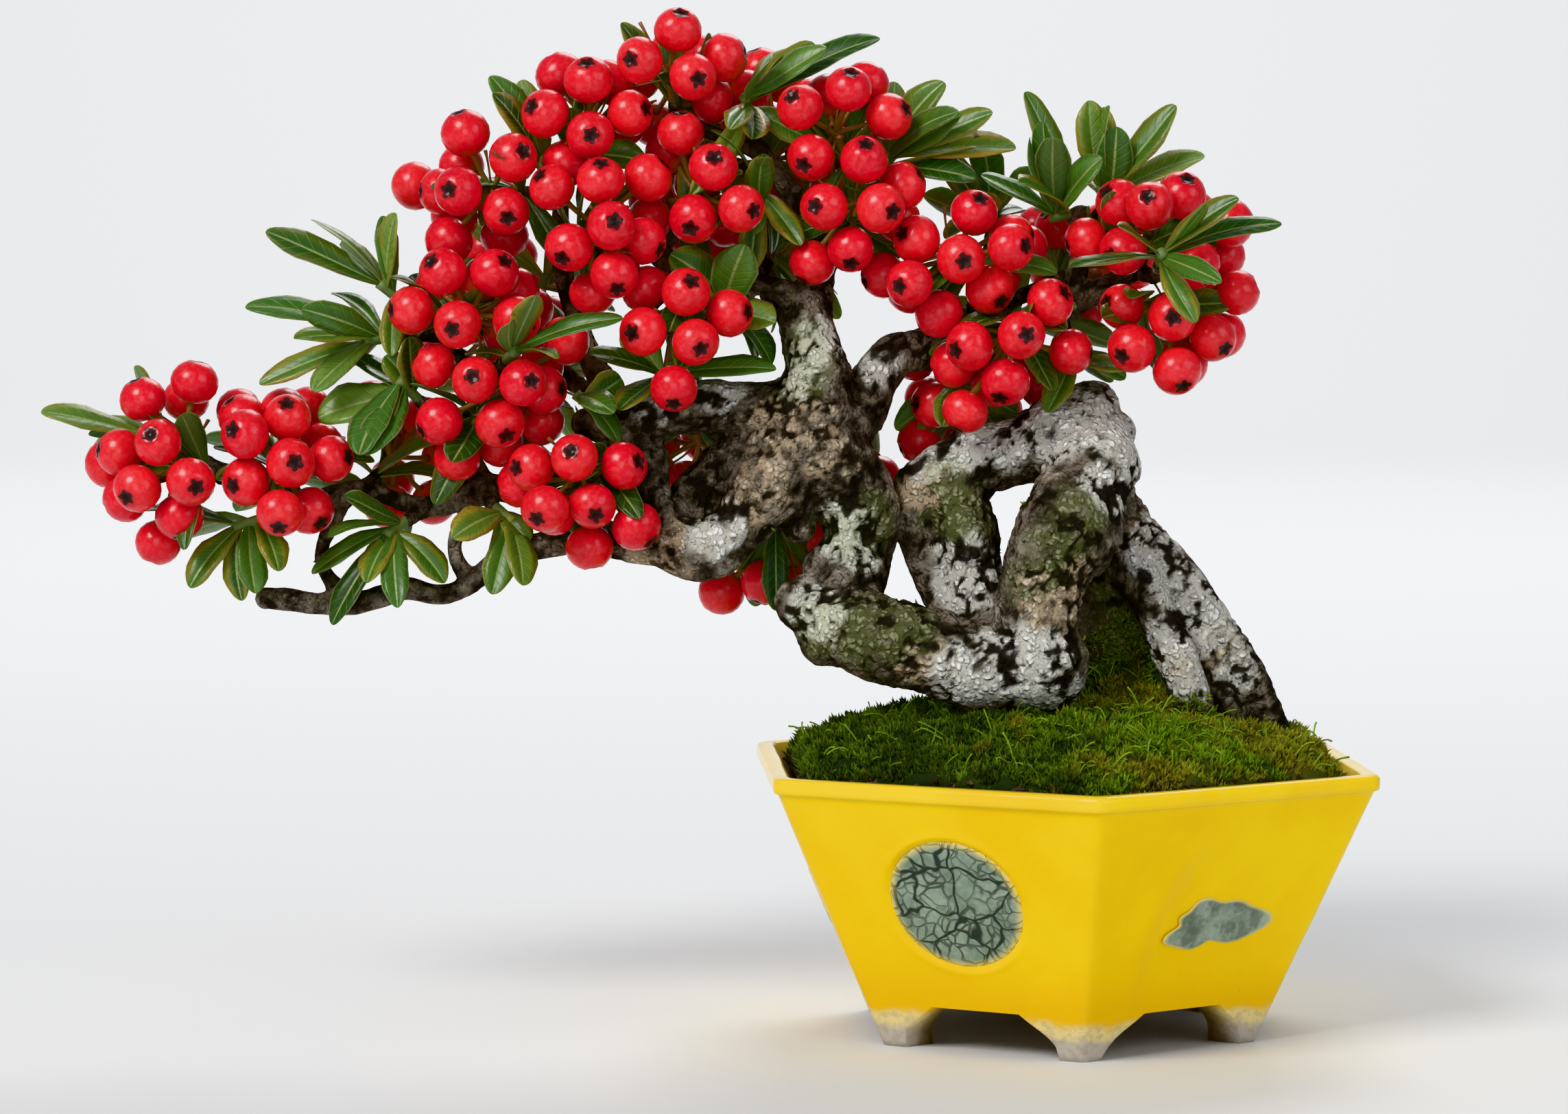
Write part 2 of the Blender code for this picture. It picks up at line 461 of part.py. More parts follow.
def solid_from(thing, name, collection):
    """Swap an object for a plain mesh object, with its modifiers applied and a curve's caps welded."""
    bpy.context.view_layer.update()
    seen = thing.evaluated_get(bpy.context.evaluated_depsgraph_get())
    mesh = bpy.data.meshes.new_from_object(seen)
    if thing.type == "CURVE":
        bm = bmesh.new()
        bm.from_mesh(mesh)
        bmesh.ops.remove_doubles(bm, verts=bm.verts, dist=1e-6)
        bm.to_mesh(mesh)
        bm.free()
    place = thing.matrix_world.copy()
    bpy.data.objects.remove(thing)
    made = new_object(name, mesh, collection)
    made.matrix_world = place
    return made


def tube(name, path, radii, collection, resolution):
    """A round rod that follows a path, thick or thin point by point, with flat ends."""
    curve = bpy.data.curves.new(name, "CURVE")
    curve.dimensions = "3D"
    curve.bevel_depth = MM
    curve.bevel_resolution = resolution
    curve.use_fill_caps = True
    spline = curve.splines.new("POLY")
    spline.points.add(len(path) - 1)
    for point, place, radius in zip(spline.points, path, np.broadcast_to(radii, len(path))):
        point.co = (*(np.asarray(place) * MM), 1.0)
        point.radius = float(radius)
    return solid_from(new_object(name, curve, collection), name, collection)


def join_all(name, base, rest, collection):
    """One Boolean union of the base with a collection, applied; the collection is emptied."""
    union = base.modifiers.new("union", "BOOLEAN")
    union.operation = "UNION"
    union.operand_type = "COLLECTION"
    union.collection = rest
    union.solver = "EXACT"
    union.use_self = True
    joined = solid_from(base, name, collection)
    for thing in list(rest.objects):
        bpy.data.objects.remove(thing)
    return joined


def cut(thing, cutters):
    """Cut every object of a collection out of the thing."""
    difference = thing.modifiers.new("cut", "BOOLEAN")
    difference.operation = "DIFFERENCE"
    difference.operand_type = "COLLECTION"
    difference.collection = cutters
    difference.solver = "EXACT"


def tidy(thing):
    """Keep the largest body, split its faces into triangles and point them outwards."""
    bm = bmesh.new()
    bm.from_mesh(thing.data)
    left = set(bm.faces)
    bodies = []
    while left:
        stack = [left.pop()]
        body = list(stack)
        while stack:
            for edge in stack.pop().edges:
                for face in edge.link_faces:
                    if face in left:
                        left.remove(face)
                        stack.append(face)
                        body.append(face)
        bodies.append(body)
    bodies.sort(key=len)
    for body in bodies[:-1]:
        bmesh.ops.delete(bm, geom=body, context="FACES")
    bmesh.ops.delete(bm, geom=[v for v in bm.verts if not v.link_faces], context="VERTS")
    bmesh.ops.dissolve_verts(bm, verts=[v for v in bm.verts if len(v.link_edges) == 2])
    bmesh.ops.recalc_face_normals(bm, faces=bm.faces)
    for quads, polygons in (("BEAUTY", "BEAUTY"), ("SHORT_EDGE", "EAR_CLIP"), ("LONG_EDGE", "EAR_CLIP")):
        split = bm.copy()
        bmesh.ops.triangulate(split, faces=split.faces, quad_method=quads, ngon_method=polygons)
        split.to_mesh(thing.data)
        split.free()
        if is_closed(thing.data):
            break
    bm.free()


def is_closed(mesh):
    """True where every edge joins just two faces."""
    bm = bmesh.new()
    bm.from_mesh(mesh)
    closed = all(len(edge.link_faces) == 2 for edge in bm.edges)
    bm.free()
    return closed


def finish(thing, kind):
    colour, roughness = COLOURS[kind]
    thing.data.materials.clear()
    thing.data.materials.append(material(thing.name, colour, roughness))
    if kind != "pot":
        thing.data.shade_smooth()
        thing.data.set_sharp_from_angle(angle=np.radians(50))


def limb_tubes(collection, extra=0.0, only=None):
    """Rods for the limbs, with knobbly seeded girth; extra makes wider and longer cutters of them."""
    made = []
    for number, (name, points) in enumerate(LIMBS.items()):
        random = np.random.default_rng(SEED + number)
        path = smooth_path(points, RING_STEP)
        girth = path[:, 3] * (1 + BARK_RELIEF * random.uniform(-1, 1, len(path)))
        if only and name not in only:
            continue
        sides = 2 if points[0][3] > 2.6 else 1
        places = path[:, :3]
        places[0] -= unit(places[1] - places[0]) * extra
        places[-1] += unit(places[-1] - places[-2]) * extra
        made.append(tube(name, places, girth + extra, collection, sides))
    return made


def six_sided_cone(name, radius_low, radius_high, low, high, collection):
    mesh = bpy.data.meshes.new(name)
    bm = bmesh.new()
    bmesh.ops.create_cone(bm, cap_ends=True, segments=6, radius1=radius_low * MM, radius2=radius_high * MM,
                          depth=(high - low) * MM)
    bm.to_mesh(mesh)
    bm.free()
    made = new_object(name, mesh, collection)
    made.location.z = (low + high) / 2 * MM
    made.rotation_euler.z = np.radians(POT_TURN_DEG)
    return made


def outer_radius(z):
    """Corner radius of the pot's plain wall at a height."""
    top = POT_HEIGHT - LIP_HEIGHT
    slope = (RIM_CORNER_RADIUS - LIP_PROUD - FOOT_CORNER_RADIUS) / top
    return FOOT_CORNER_RADIUS + slope * z


def inner_radius(z):
    """Corner radius of the pot's inside at a height."""
    low = outer_radius(FLOOR_TOP) - WALL_AT_FLOOR
    high = RIM_CORNER_RADIUS - WALL_AT_RIM
    return low + (high - low) * (z - FLOOR_TOP) / (POT_HEIGHT - FLOOR_TOP)


def build_pot(parts, cutters):
    top = POT_HEIGHT - LIP_HEIGHT
    wall_top = top + LIP_OVERLAP
    body = six_sided_cone("pot_wall", outer_radius(0), outer_radius(wall_top), 0, wall_top, parts)
    soften = body.modifiers.new("soft_corners", "BEVEL")
    soften.width = CORNER_ROUNDING * MM
    soften.segments = 2
    soften.limit_method = "ANGLE"
    soften.angle_limit = np.radians(50)
    body = solid_from(body, "pot_wall", parts)
    lips = new_collection("pot_lip")
    lip = six_sided_cone("pot_lip", RIM_CORNER_RADIUS - LIP_SLANT, RIM_CORNER_RADIUS, top, POT_HEIGHT, lips)
    soften = lip.modifiers.new("soft_corners", "BEVEL")
    soften.width = LIP_ROUNDING * MM
    soften.segments = 1
    soften.limit_method = "NONE"
    solid_from(lip, "pot_lip", lips)
    pot = join_all("pot", body, lips, parts)
    slope = (inner_radius(POT_HEIGHT) - inner_radius(FLOOR_TOP)) / (POT_HEIGHT - FLOOR_TOP)
    hollow_top = POT_HEIGHT + CUTTER_ROOM
    floor_radius = inner_radius(FLOOR_TOP)
    six_sided_cone("hollow", floor_radius, floor_radius + slope * (hollow_top - FLOOR_TOP),
                   FLOOR_TOP, hollow_top, cutters)
    six_sided_cone("under", outer_radius(0) - FOOT_RING_WIDTH, outer_radius(FOOT_HEIGHT) - FOOT_RING_WIDTH,
                   -CUTTER_ROOM, UNDERSIDE_HEIGHT, cutters)
    for side in range(3):
        arch = foot_arch("foot_arch_%d" % side, cutters)
        arch.rotation_euler.z = np.radians(POT_TURN_DEG + 30 + 60 * side)
    bpy.ops.mesh.primitive_cylinder_add(vertices=12, radius=DRAIN_HOLE_RADIUS * MM, depth=FLOOR_TOP * MM,
                                        location=(0, 0, UNDERSIDE_HEIGHT * MM))
    hole = bpy.context.object
    hole.name = "drain_hole"
    for owner in list(hole.users_collection):
        owner.objects.unlink(hole)
    cutters.objects.link(hole)
    for side in range(3):
        round_panel("panel_%d" % side, POT_TURN_DEG - 30 + 120 * side, cutters)
    veil(cutters)
    cut(pot, cutters)
    pot = solid_from(pot, "pot", parts)
    tidy(pot)
    finish(pot, "pot")
    clear(cutters)
    return pot


def foot_arch(name, collection):
    """Opening under two facing walls: low and wide at the ground, with an ogee up to the underside."""
    side = FOOT_CORNER_RADIUS
    wide = side / 2 - FOOT_TIP_HALF
    narrow = outer_radius(FOOT_HEIGHT) / 2 - FOOT_WING
    outline = []
    for t in np.linspace(0, 1, ARCH_POINTS):
        sweep = 0.5 - 0.5 * np.cos(np.pi * t)
        outline.append((wide + (narrow - wide) * (0.55 * sweep + 0.45 * t ** 2), FOOT_HEIGHT * t ** 0.8))
    curve = bpy.data.curves.new(name, "CURVE")
    curve.dimensions = "2D"
    curve.fill_mode = "BOTH"
    curve.extrude = 2 * FOOT_CORNER_RADIUS * MM
    spline = curve.splines.new("POLY")
    points = [(wide, -CUTTER_ROOM)] + outline
    points += [(-x, z) for x, z in reversed(points)]
    spline.points.add(len(points) - 1)
    for point, (x, z) in zip(spline.points, points):
        point.co = (x * MM, z * MM, 0, 1)
    spline.use_cyclic_u = True
    made = solid_from(new_object(name, curve, collection), name, collection)
    made.data.transform(Matrix.Rotation(np.radians(90), 4, "X"))
    return made


def round_panel(name, degrees, collection):
    """A shallow round bed in one wall, square to the leaning wall."""
    angle = np.radians(degrees)
    apothem = outer_radius(PANEL_CENTRE_HEIGHT) * np.cos(np.radians(30))
    lean = np.arctan2((outer_radius(10) - outer_radius(0)) * np.cos(np.radians(30)), 10)
    mesh = bpy.data.meshes.new(name)
    bm = bmesh.new()
    radius = PANEL_RADIUS * MM
    bmesh.ops.create_cone(bm, cap_ends=True, segments=18, radius1=radius, radius2=radius,
                          depth=2 * PANEL_DEPTH * MM)
    bm.to_mesh(mesh)
    bm.free()
    made = new_object(name, mesh, collection)
    outward = Vector((np.sin(angle) * np.cos(lean), -np.cos(angle) * np.cos(lean), -np.sin(lean)))
    made.rotation_mode = "QUATERNION"
    made.rotation_quaternion = outward.to_track_quat("Z", "Y")
    made.location = Vector((np.sin(angle) * apothem, -np.cos(angle) * apothem, PANEL_CENTRE_HEIGHT)) * MM
    return made


def clear(collection):
    for thing in list(collection.objects):
        bpy.data.objects.remove(thing)


def veil(collection):
    """Show the cutters as wires and keep them out of renders."""
    for thing in collection.objects:
        thing.hide_render = True
        thing.display_type = "WIRE"


def six_sided(places, corner_radius):
    """Press a disc of radius one into the pot's six-sided outline."""
    turn = np.arctan2(places[:, 0], -places[:, 1]) - np.radians(POT_TURN_DEG)
    sector = np.mod(turn, np.radians(60)) - np.radians(30)
    edge = np.cos(np.radians(30)) / np.cos(sector)
    return places[:, :2] * (edge * corner_radius)[:, None]


def moss_height(x, y):
    """Top of the moss: a low dome with a steep heap against the trunk's foot."""
    outwards = np.hypot(x, y) / MOSS_REACH
    dome = MOSS_DOME * (1 - np.clip(outwards, 0, 1) ** 2.2)
    heap = ((x - MOSS_HEAP_PLACE[0]) ** 2 + (y - MOSS_HEAP_PLACE[1]) ** 2) / (2 * MOSS_HEAP_SPREAD ** 2)
    return MOSS_EDGE_HEIGHT + dome + MOSS_HEAP * np.exp(-heap)


def moss_tufts(x, y):
    """Cushions and tufts of the moss, as crossing waves of a few lengths."""
    waves = np.sin(0.62 * x + 0.33 * y) * np.sin(0.7 * y - 0.22 * x + 1.0)
    waves += 0.5 * np.sin(1.15 * x - 0.8 * y + 2.0) * np.cos(1.2 * y + 0.5 * x)
    return MOSS_TUFT * waves


def ground_sheet(name, collection):
    """Open sheet over the pot's whole inside that follows the underside of the moss."""
    profile = [(ring / RINGS, 0, 0) for ring in range(RINGS + 1)]
    mesh = bpy.data.meshes.new(name)
    mesh.from_pydata(profile, [(i, i + 1) for i in range(RINGS)], [])
    sheet = new_object(name, mesh, collection)
    screw = sheet.modifiers.new("turn", "SCREW")
    screw.steps = SECTORS
    screw.render_steps = SECTORS
    screw.use_merge_vertices = True
    screw.merge_threshold = 0.0001
    sheet = solid_from(sheet, name, collection)
    places = np.empty(len(sheet.data.vertices) * 3)
    sheet.data.vertices.foreach_get("co", places)
    flat = six_sided(places.reshape(-1, 3), inner_radius(GROUND_EDGE) - WALL_GAP)
    high = moss_height(flat[:, 0], flat[:, 1]) - MOSS_THICKNESS
    sheet.data.vertices.foreach_set("co", (np.column_stack([flat, high]) * MM).ravel())
    return sheet


def build_soil(parts, cutters):
    """Soil from just above the pot's floor up to just under the moss."""
    soil = ground_sheet("soil", parts)
    bm = bmesh.new()
    bm.from_mesh(soil.data)
    bmesh.ops.triangulate(bm, faces=bm.faces)
    bmesh.ops.translate(bm, verts=bm.verts, vec=(0, 0, -GROUND_GAP * MM))
    rim = [edge for edge in bm.edges if edge.is_boundary]
    grown = bmesh.ops.extrude_edge_only(bm, edges=rim)["geom"]
    floor_radius = inner_radius(FLOOR_TOP + SEAT_GAP) - WALL_GAP
    shrink = floor_radius / (inner_radius(GROUND_EDGE) - WALL_GAP)
    for vert in [part for part in grown if isinstance(part, bmesh.types.BMVert)]:
        vert.co = Vector((vert.co.x * shrink, vert.co.y * shrink, (FLOOR_TOP + SEAT_GAP) * MM))
    bmesh.ops.contextual_create(bm, geom=[part for part in grown if isinstance(part, bmesh.types.BMEdge)
                                          and part.is_boundary])
    bmesh.ops.recalc_face_normals(bm, faces=bm.faces)
    bm.to_mesh(soil.data)
    bm.free()
    rooted = ("leg_back", "root_long", "root_mid", "root_between", "root_back", "root_left")
    return bore_for_limbs(soil, rooted, parts, cutters)


def build_moss(parts, cutters):
    """Moss over all of the soil, with cushions and tufts, left open round the wood."""
    moss = ground_sheet("moss", parts)
    bm = bmesh.new()
    bm.from_mesh(moss.data)
    bmesh.ops.triangulate(bm, faces=bm.faces)
    on_top = bm.verts.layers.float.new("on_top")
    grown = bmesh.ops.extrude_face_region(bm, geom=bm.faces[:])["geom"]
    for vert in [part for part in grown if isinstance(part, bmesh.types.BMVert)]:
        vert[on_top] = 1.0
    top_edges = [part for part in grown if isinstance(part, bmesh.types.BMEdge)]
    bmesh.ops.subdivide_edges(bm, edges=top_edges, cuts=1, use_grid_fill=True)
    for vert in bm.verts:
        if vert[on_top] > 0.9:
            x, y = vert.co.x / MM, vert.co.y / MM
            vert.co.z = (moss_height(x, y) + moss_tufts(x, y)) * MM
    bmesh.ops.recalc_face_normals(bm, faces=bm.faces)
    bm.to_mesh(moss.data)
    bm.free()
    wood = ("leg_back", "leg_front", "log", "root_long", "root_mid", "root_between", "root_back", "root_left")
    return bore_for_limbs(moss, wood, parts, cutters)


def bore_for_limbs(ground, wood, parts, cutters):
    """Cut plain holes for the wood that stands in the ground, a little wider than the wood."""
    name = ground.name
    limb_tubes(cutters, HOLE_ROOM, wood)
    veil(cutters)
    cut(ground, cutters)
    ground = solid_from(ground, name, parts)
    clear(cutters)
    tidy(ground)
    finish(ground, name)
    return ground


def melted(name, pieces, collection):
    """One closed skin over crossing limbs, as a mesh."""
    bm = bmesh.new()
    for piece in pieces:
        bm.from_mesh(piece.data)
        bpy.data.objects.remove(piece)
    mesh = bpy.data.meshes.new(name)
    bm.to_mesh(mesh)
    bm.free()
    grown = new_object(name, mesh, collection)
    melt = grown.modifiers.new("melt", "REMESH")
    melt.mode = "VOXEL"
    melt.voxel_size = FLOW_SIZE * MM
    grown = solid_from(grown, name, collection)
    skin = grown.data
    bpy.data.objects.remove(grown)
    return skin


def build_trunk(parts, cutters, plan):
    """All the wood as one body, thinned to few faces, each twig ending just short of its shoot."""
    wood = limb_tubes(parts)
    for name, entry in plan.items():
        path = smooth_path([entry["start"], entry["middle"], entry["seat"]], RING_STEP)
        girths = np.linspace(TWIG_RADIUS, TWIG_RADIUS * 0.85, len(path))
        wood.append(tube("twig_" + name, path, girths, parts, 2))
        clear_run = [entry["seat"] - entry["ahead"] * SEAT_GAP, entry["hub"]]
        tube("trim_" + name, clear_run, SHOOT_RADIUS + TRIM_ROOM, cutters, 1)
    veil(cutters)
    skin = melted("trunk", wood, parts)
    for faces in range(TRUNK_FACES, TRUNK_FACES + 400, 20):
        trunk = new_object("trunk", skin, parts)
        thin = trunk.modifiers.new("thin", "DECIMATE")
        thin.ratio = faces / (2 * len(skin.polygons))
        for cutter in cutters.objects:
            trim = trunk.modifiers.new("trim", "BOOLEAN")
            trim.operation = "DIFFERENCE"
            trim.object = cutter
            trim.solver = "EXACT"
        trunk = solid_from(trunk, "trunk", parts)
        tidy(trunk)
        if is_closed(trunk.data):
            break
        bpy.data.objects.remove(trunk)
    clear(cutters)
    finish(trunk, "trunk")
    return trunk


def build_bunch(name, entry, parts, scraps):
    """A bunch: every stalk is a rod that swells into its round berry, sunk in the bunch's shoot."""
    head = tube(name, [entry["seat"], entry["hub"] + entry["ahead"] * 0.6],
                (SHOOT_RADIUS, SHOOT_RADIUS * 0.8), parts, 0)
    for number, (knee, centre) in enumerate(entry["stalks"]):
        axis = unit(centre - knee)
        path = [knee] + [centre + axis * BERRY_RADIUS * place for place, girth in BERRY_PROFILE]
        girths = [STALK_RADIUS] + [BERRY_RADIUS * girth for place, girth in BERRY_PROFILE]
        tube("berry_%d" % number, path, girths, scraps, 1)
    bunch = join_all(name, head, scraps, parts)
    tidy(bunch)
    finish(bunch, "berries")
    return bunch


def leaf(name, foot, tip, width, face, arch, collection):
    """One leaf blade: a strip that narrows to both ends, arched and folded along its midrib."""
    mesh = bpy.data.meshes.new(name)
    bm = bmesh.new()
    spans = len(LEAF_ROWS) - 1
    bmesh.ops.create_grid(bm, x_segments=spans, y_segments=2, size=1.0)
    grid = blade_points(foot, tip, width, face, arch, LEAF_ROWS, 3)
    for vert in bm.verts:
        row = int(round((vert.co.x + 1) * spans / 2))
        column = int(round(vert.co.y + 1))
        vert.co = Vector(grid[row, column]) * MM
    bmesh.ops.remove_doubles(bm, verts=bm.verts, dist=1e-5)
    bmesh.ops.triangulate(bm, faces=bm.faces)
    bm.to_mesh(mesh)
    bm.free()
    made = new_object(name, mesh, collection)
    thick = made.modifiers.new("thick", "SOLIDIFY")
    thick.thickness = LEAF_THICKNESS * MM
    thick.offset = 0
    return solid_from(made, name, collection)


def build_spray(name, entry, parts, scraps):
    """A spray: blades sunk in one short shoot, shifted a hair where they would meet edge on edge."""
    count = len(entry["leaves"])
    for nudge in range(16):
        head = tube(name, [entry["seat"], entry["hub"] + entry["ahead"] * 1.2],
                    (SHOOT_RADIUS, SHOOT_RADIUS * 0.9), parts, nudge % 2)
        for number, (foot, tip, width, face, arch) in enumerate(entry["leaves"]):
            shift = entry["ahead"] * 0.04 * nudge * number / count
            leaf("leaf_%d" % number, foot + shift, tip, width, face, arch, scraps)
        spray = join_all(name, head, scraps, parts)
        tidy(spray)
        if is_closed(spray.data) or nudge == 15:
            break
        bpy.data.objects.remove(spray)
    finish(spray, "leaves")
    return spray


def main():
    for thing in list(bpy.data.objects):
        bpy.data.objects.remove(thing)
    parts = new_collection(PART_NAME)
    cutters = new_collection("cutters")
    scraps = new_collection("scraps")
    plan = plan_growth()
    build_pot(parts, cutters)
    build_soil(parts, cutters)
    build_moss(parts, cutters)
    build_trunk(parts, cutters, plan)
    for name in BUNCHES:
        build_bunch(name, plan[name], parts, scraps)
    for name in SPRAYS:
        build_spray(name, plan[name], parts, scraps)
    corners = np.array([thing.matrix_world @ Vector(corner) for thing in parts.objects
                        for corner in thing.bound_box])
    middle = (corners.min(axis=0) + corners.max(axis=0)) / 2
    stand = new_object("stand", None, parts)
    for thing in list(parts.objects):
        if thing is not stand:
            thing.parent = stand
    stand.location = (-middle[0], -middle[1], 0)


main()
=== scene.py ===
"""Firethorn bonsai in its six-sided glazed pot: the finished surfaces.

The file follows the object as it is put together: floor and light, pot, panels, moss, old wood,
berries and leaves.  Lengths are millimetres from the pot's axis at table height until a mesh is
made, which turns them into metres and moves them to where the pot stands.
"""

import bpy
import bmesh
import numpy as np
from mathutils import Matrix, Vector


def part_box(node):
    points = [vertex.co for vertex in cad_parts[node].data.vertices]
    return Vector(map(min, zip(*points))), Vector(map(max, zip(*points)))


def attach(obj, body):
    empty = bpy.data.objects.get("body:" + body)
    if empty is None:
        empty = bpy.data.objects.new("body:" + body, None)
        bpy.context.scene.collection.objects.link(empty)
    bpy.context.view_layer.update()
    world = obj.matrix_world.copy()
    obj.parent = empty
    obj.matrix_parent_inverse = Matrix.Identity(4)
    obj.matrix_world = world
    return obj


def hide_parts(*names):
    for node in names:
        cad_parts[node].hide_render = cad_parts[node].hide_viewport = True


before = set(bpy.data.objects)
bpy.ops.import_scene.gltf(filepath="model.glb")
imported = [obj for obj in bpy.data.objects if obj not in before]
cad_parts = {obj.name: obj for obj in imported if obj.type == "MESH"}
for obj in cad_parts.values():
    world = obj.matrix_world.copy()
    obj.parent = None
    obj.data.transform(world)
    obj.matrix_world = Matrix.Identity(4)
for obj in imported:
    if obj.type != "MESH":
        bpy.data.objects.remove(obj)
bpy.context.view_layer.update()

# Floor, camera and light.  A pale sheet lies under the pot and sweeps up behind it, seen from just
# above the rim with a long lens.  One broad soft light stands high at the left front, weaker ones at
# the right and in front, one lights the crown from behind, and one the sheet where it sweeps up.
MM = 0.001
pot_low, pot_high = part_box("pot")
POT_AXIS = np.array([(pot_low.x + pot_high.x) / 2, (pot_low.y + pot_high.y) / 2, 0.0])
CAMERA_PLACE = (-0.0404, -0.640, 0.1111)
CAMERA_PITCH = 86.26
CAMERA_LENS = 100.4
SHEET_COLOUR = (0.74, 0.745, 0.75, 1)
SHEET_ROWS = 40
SHEET_HALF_WIDTH = 4.0
SHEET_FRONT = -2.0
SHEET_BACK = 2.0
SHEET_BEND = 1.2
SHEET_TOP = 4.0
AIR_COLOUR = (0.80, 0.83, 0.88, 1)
AIR_STRENGTH = 0.38
LIT_PLACE = Vector((POT_AXIS[0] - 0.05, POT_AXIS[1], 0))
LIT_HEIGHT = Vector((0, 0, 0.08))
LIGHTS = {
    "key_light": ((-0.85, -1.05, 1.15), 0.75, 21.0, (1.0, 0.985, 0.96)),
    "fill_light": ((1.1, -0.9, 0.65), 1.0, 4.6, (0.95, 0.975, 1.0)),
    "front_light": ((-0.1, -1.5, 0.35), 0.7, 2.6, (1.0, 1.0, 1.0)),
    "back_light": ((0.25, 1.0, 1.1), 0.8, 9.0, (1.0, 1.0, 1.0)),
}
scene = bpy.context.scene


def grid_faces(rows, columns, round_rows=False, round_columns=False):
    """Quads of a grid of points numbered row by row, closed round either way where asked."""
    i = np.arange(rows if round_rows else rows - 1)[:, None]
    j = np.arange(columns if round_columns else columns - 1)[None, :]
    after_i = (i + 1) % rows
    after_j = (j + 1) % columns
    corners = [i * columns + j, i * columns + after_j, after_i * columns + after_j, after_i * columns + j]
    return np.stack(corners, axis=-1).reshape(-1, 4)


def new_material(name, **plain):
    """A Principled material with its plain values set on the shader's own sockets."""
    made = bpy.data.materials.new(name)
    made.use_nodes = True
    for socket, value in plain.items():
        made.node_tree.nodes["Principled BSDF"].inputs[socket.replace("_", " ")].default_value = value
    return made


def new_object(name, data):
    made = bpy.data.objects.new(name, data)
    scene.collection.objects.link(made)
    return made


def new_light(name, place, aim, size, power, tint):
    """A round soft light at a place, turned to a point."""
    lamp = bpy.data.lights.new(name, "AREA")
    lamp.shape = "DISK"
    lamp.size = size
    lamp.energy = power
    lamp.color = tint
    light = new_object(name, lamp)
    light.location = place
    light.rotation_euler = (aim - place).to_track_quat("-Z", "Y").to_euler()


share = np.linspace(0, 1, SHEET_ROWS)
sweep = (share - 0.5) * np.pi
sheet_x = np.linspace(-SHEET_HALF_WIDTH, SHEET_HALF_WIDTH, 3)
sheet_y = np.where(share < 0.5, SHEET_FRONT + share * 2 * (SHEET_BACK - SHEET_FRONT),
                   SHEET_BACK + SHEET_BEND * np.sin(sweep))
sheet_z = np.where(share < 0.5, 0.0, SHEET_BEND * (1 - np.cos(sweep)))
sheet_z[-1] = SHEET_TOP
sheet_points = np.broadcast_arrays(sheet_x[None, :], sheet_y[:, None], sheet_z[:, None])
sheet_mesh = bpy.data.meshes.new("floor_sheet")
sheet_mesh.from_pydata(np.stack(sheet_points, axis=-1).reshape(-1, 3), [], grid_faces(SHEET_ROWS, 3))
sheet_mesh.shade_smooth()
sheet_mesh.materials.append(new_material("pale_sheet", Base_Color=SHEET_COLOUR, Roughness=0.85))
floor_sheet = new_object("floor_sheet", sheet_mesh)

for name, (place, size, power, tint) in LIGHTS.items():
    new_light(name, Vector(place) + LIT_PLACE, LIT_PLACE + LIT_HEIGHT, size, power, tint)
new_light("sheet_light", Vector((0.0, 1.2, 1.9)), Vector((0.0, 3.1, 0.7)), 1.6, 46.0, (1.0, 1.0, 1.0))
world = bpy.data.worlds.new("studio_air")
world.use_nodes = True
world.node_tree.nodes["Background"].inputs["Color"].default_value = AIR_COLOUR
world.node_tree.nodes["Background"].inputs["Strength"].default_value = AIR_STRENGTH
scene.world = world
scene.view_settings.view_transform = "Khronos PBR Neutral"

camera_data = bpy.data.cameras.new("camera")
camera_data.lens = CAMERA_LENS
camera_data.sensor_width = 36.0
camera_data.clip_start = 0.01
camera = new_object("camera", camera_data)
camera.location = Vector(CAMERA_PLACE) + Vector(POT_AXIS)
camera.rotation_euler = (np.radians(CAMERA_PITCH), 0, 0)
scene.camera = camera

# Pot.  Hand-made six-sided stoneware, thrown thick and cut into six walls that flare to a raised
# lip, with a drain hole and six bracket feet cut from the foot ring.  Glossy yellow glaze breaks
# pale over edges, thins out on the feet and stops at the bare tips; the inside is stained beige.
POT_TURN_DEG = 3.1
POT_HEIGHT = 39.7
RIM_CORNER_RADIUS = 50.0
FOOT_CORNER_RADIUS = 31.0
LIP_HEIGHT = 2.5
LIP_PROUD = 0.9
WALL_AT_RIM = 3.0
WALL_AT_FLOOR = 3.6
FLOOR_TOP = 10.0
UNDERSIDE_HEIGHT = 7.0
FOOT_HEIGHT = 6.6
FOOT_RING_WIDTH = 5.2
FOOT_WING = 10.3
FOOT_TIP_HALF = 2.4
DRAIN_HOLE_RADIUS = 4.5
PANEL_RADIUS = 10.3
PANEL_DEPTH = 0.45
PANEL_CENTRE_HEIGHT = 22.5
SHARPNESS = {"foot": 85.0, "wall": 85.0, "lip": 85.0, "inside": 60.0, "floor": 30.0, "ring": 40.0}
APOTHEM = np.cos(np.radians(30))
GLAZE_YELLOW = (0.96, 0.655, 0.0)
GLAZE_DEEP_AND_SHADE = (0.83, 0.47, 0.0)
GLAZE_PALE = (0.92, 0.74, 0.20)
FOLD_TOP = (16.5, 31.0)
FOLD_FOOT = (8.0, 8.5)
FOLD_DEPTH = 0.55
BARE_CLAY = (0.52, 0.47, 0.40)
STAINED_CLAY = (0.60, 0.50, 0.33)


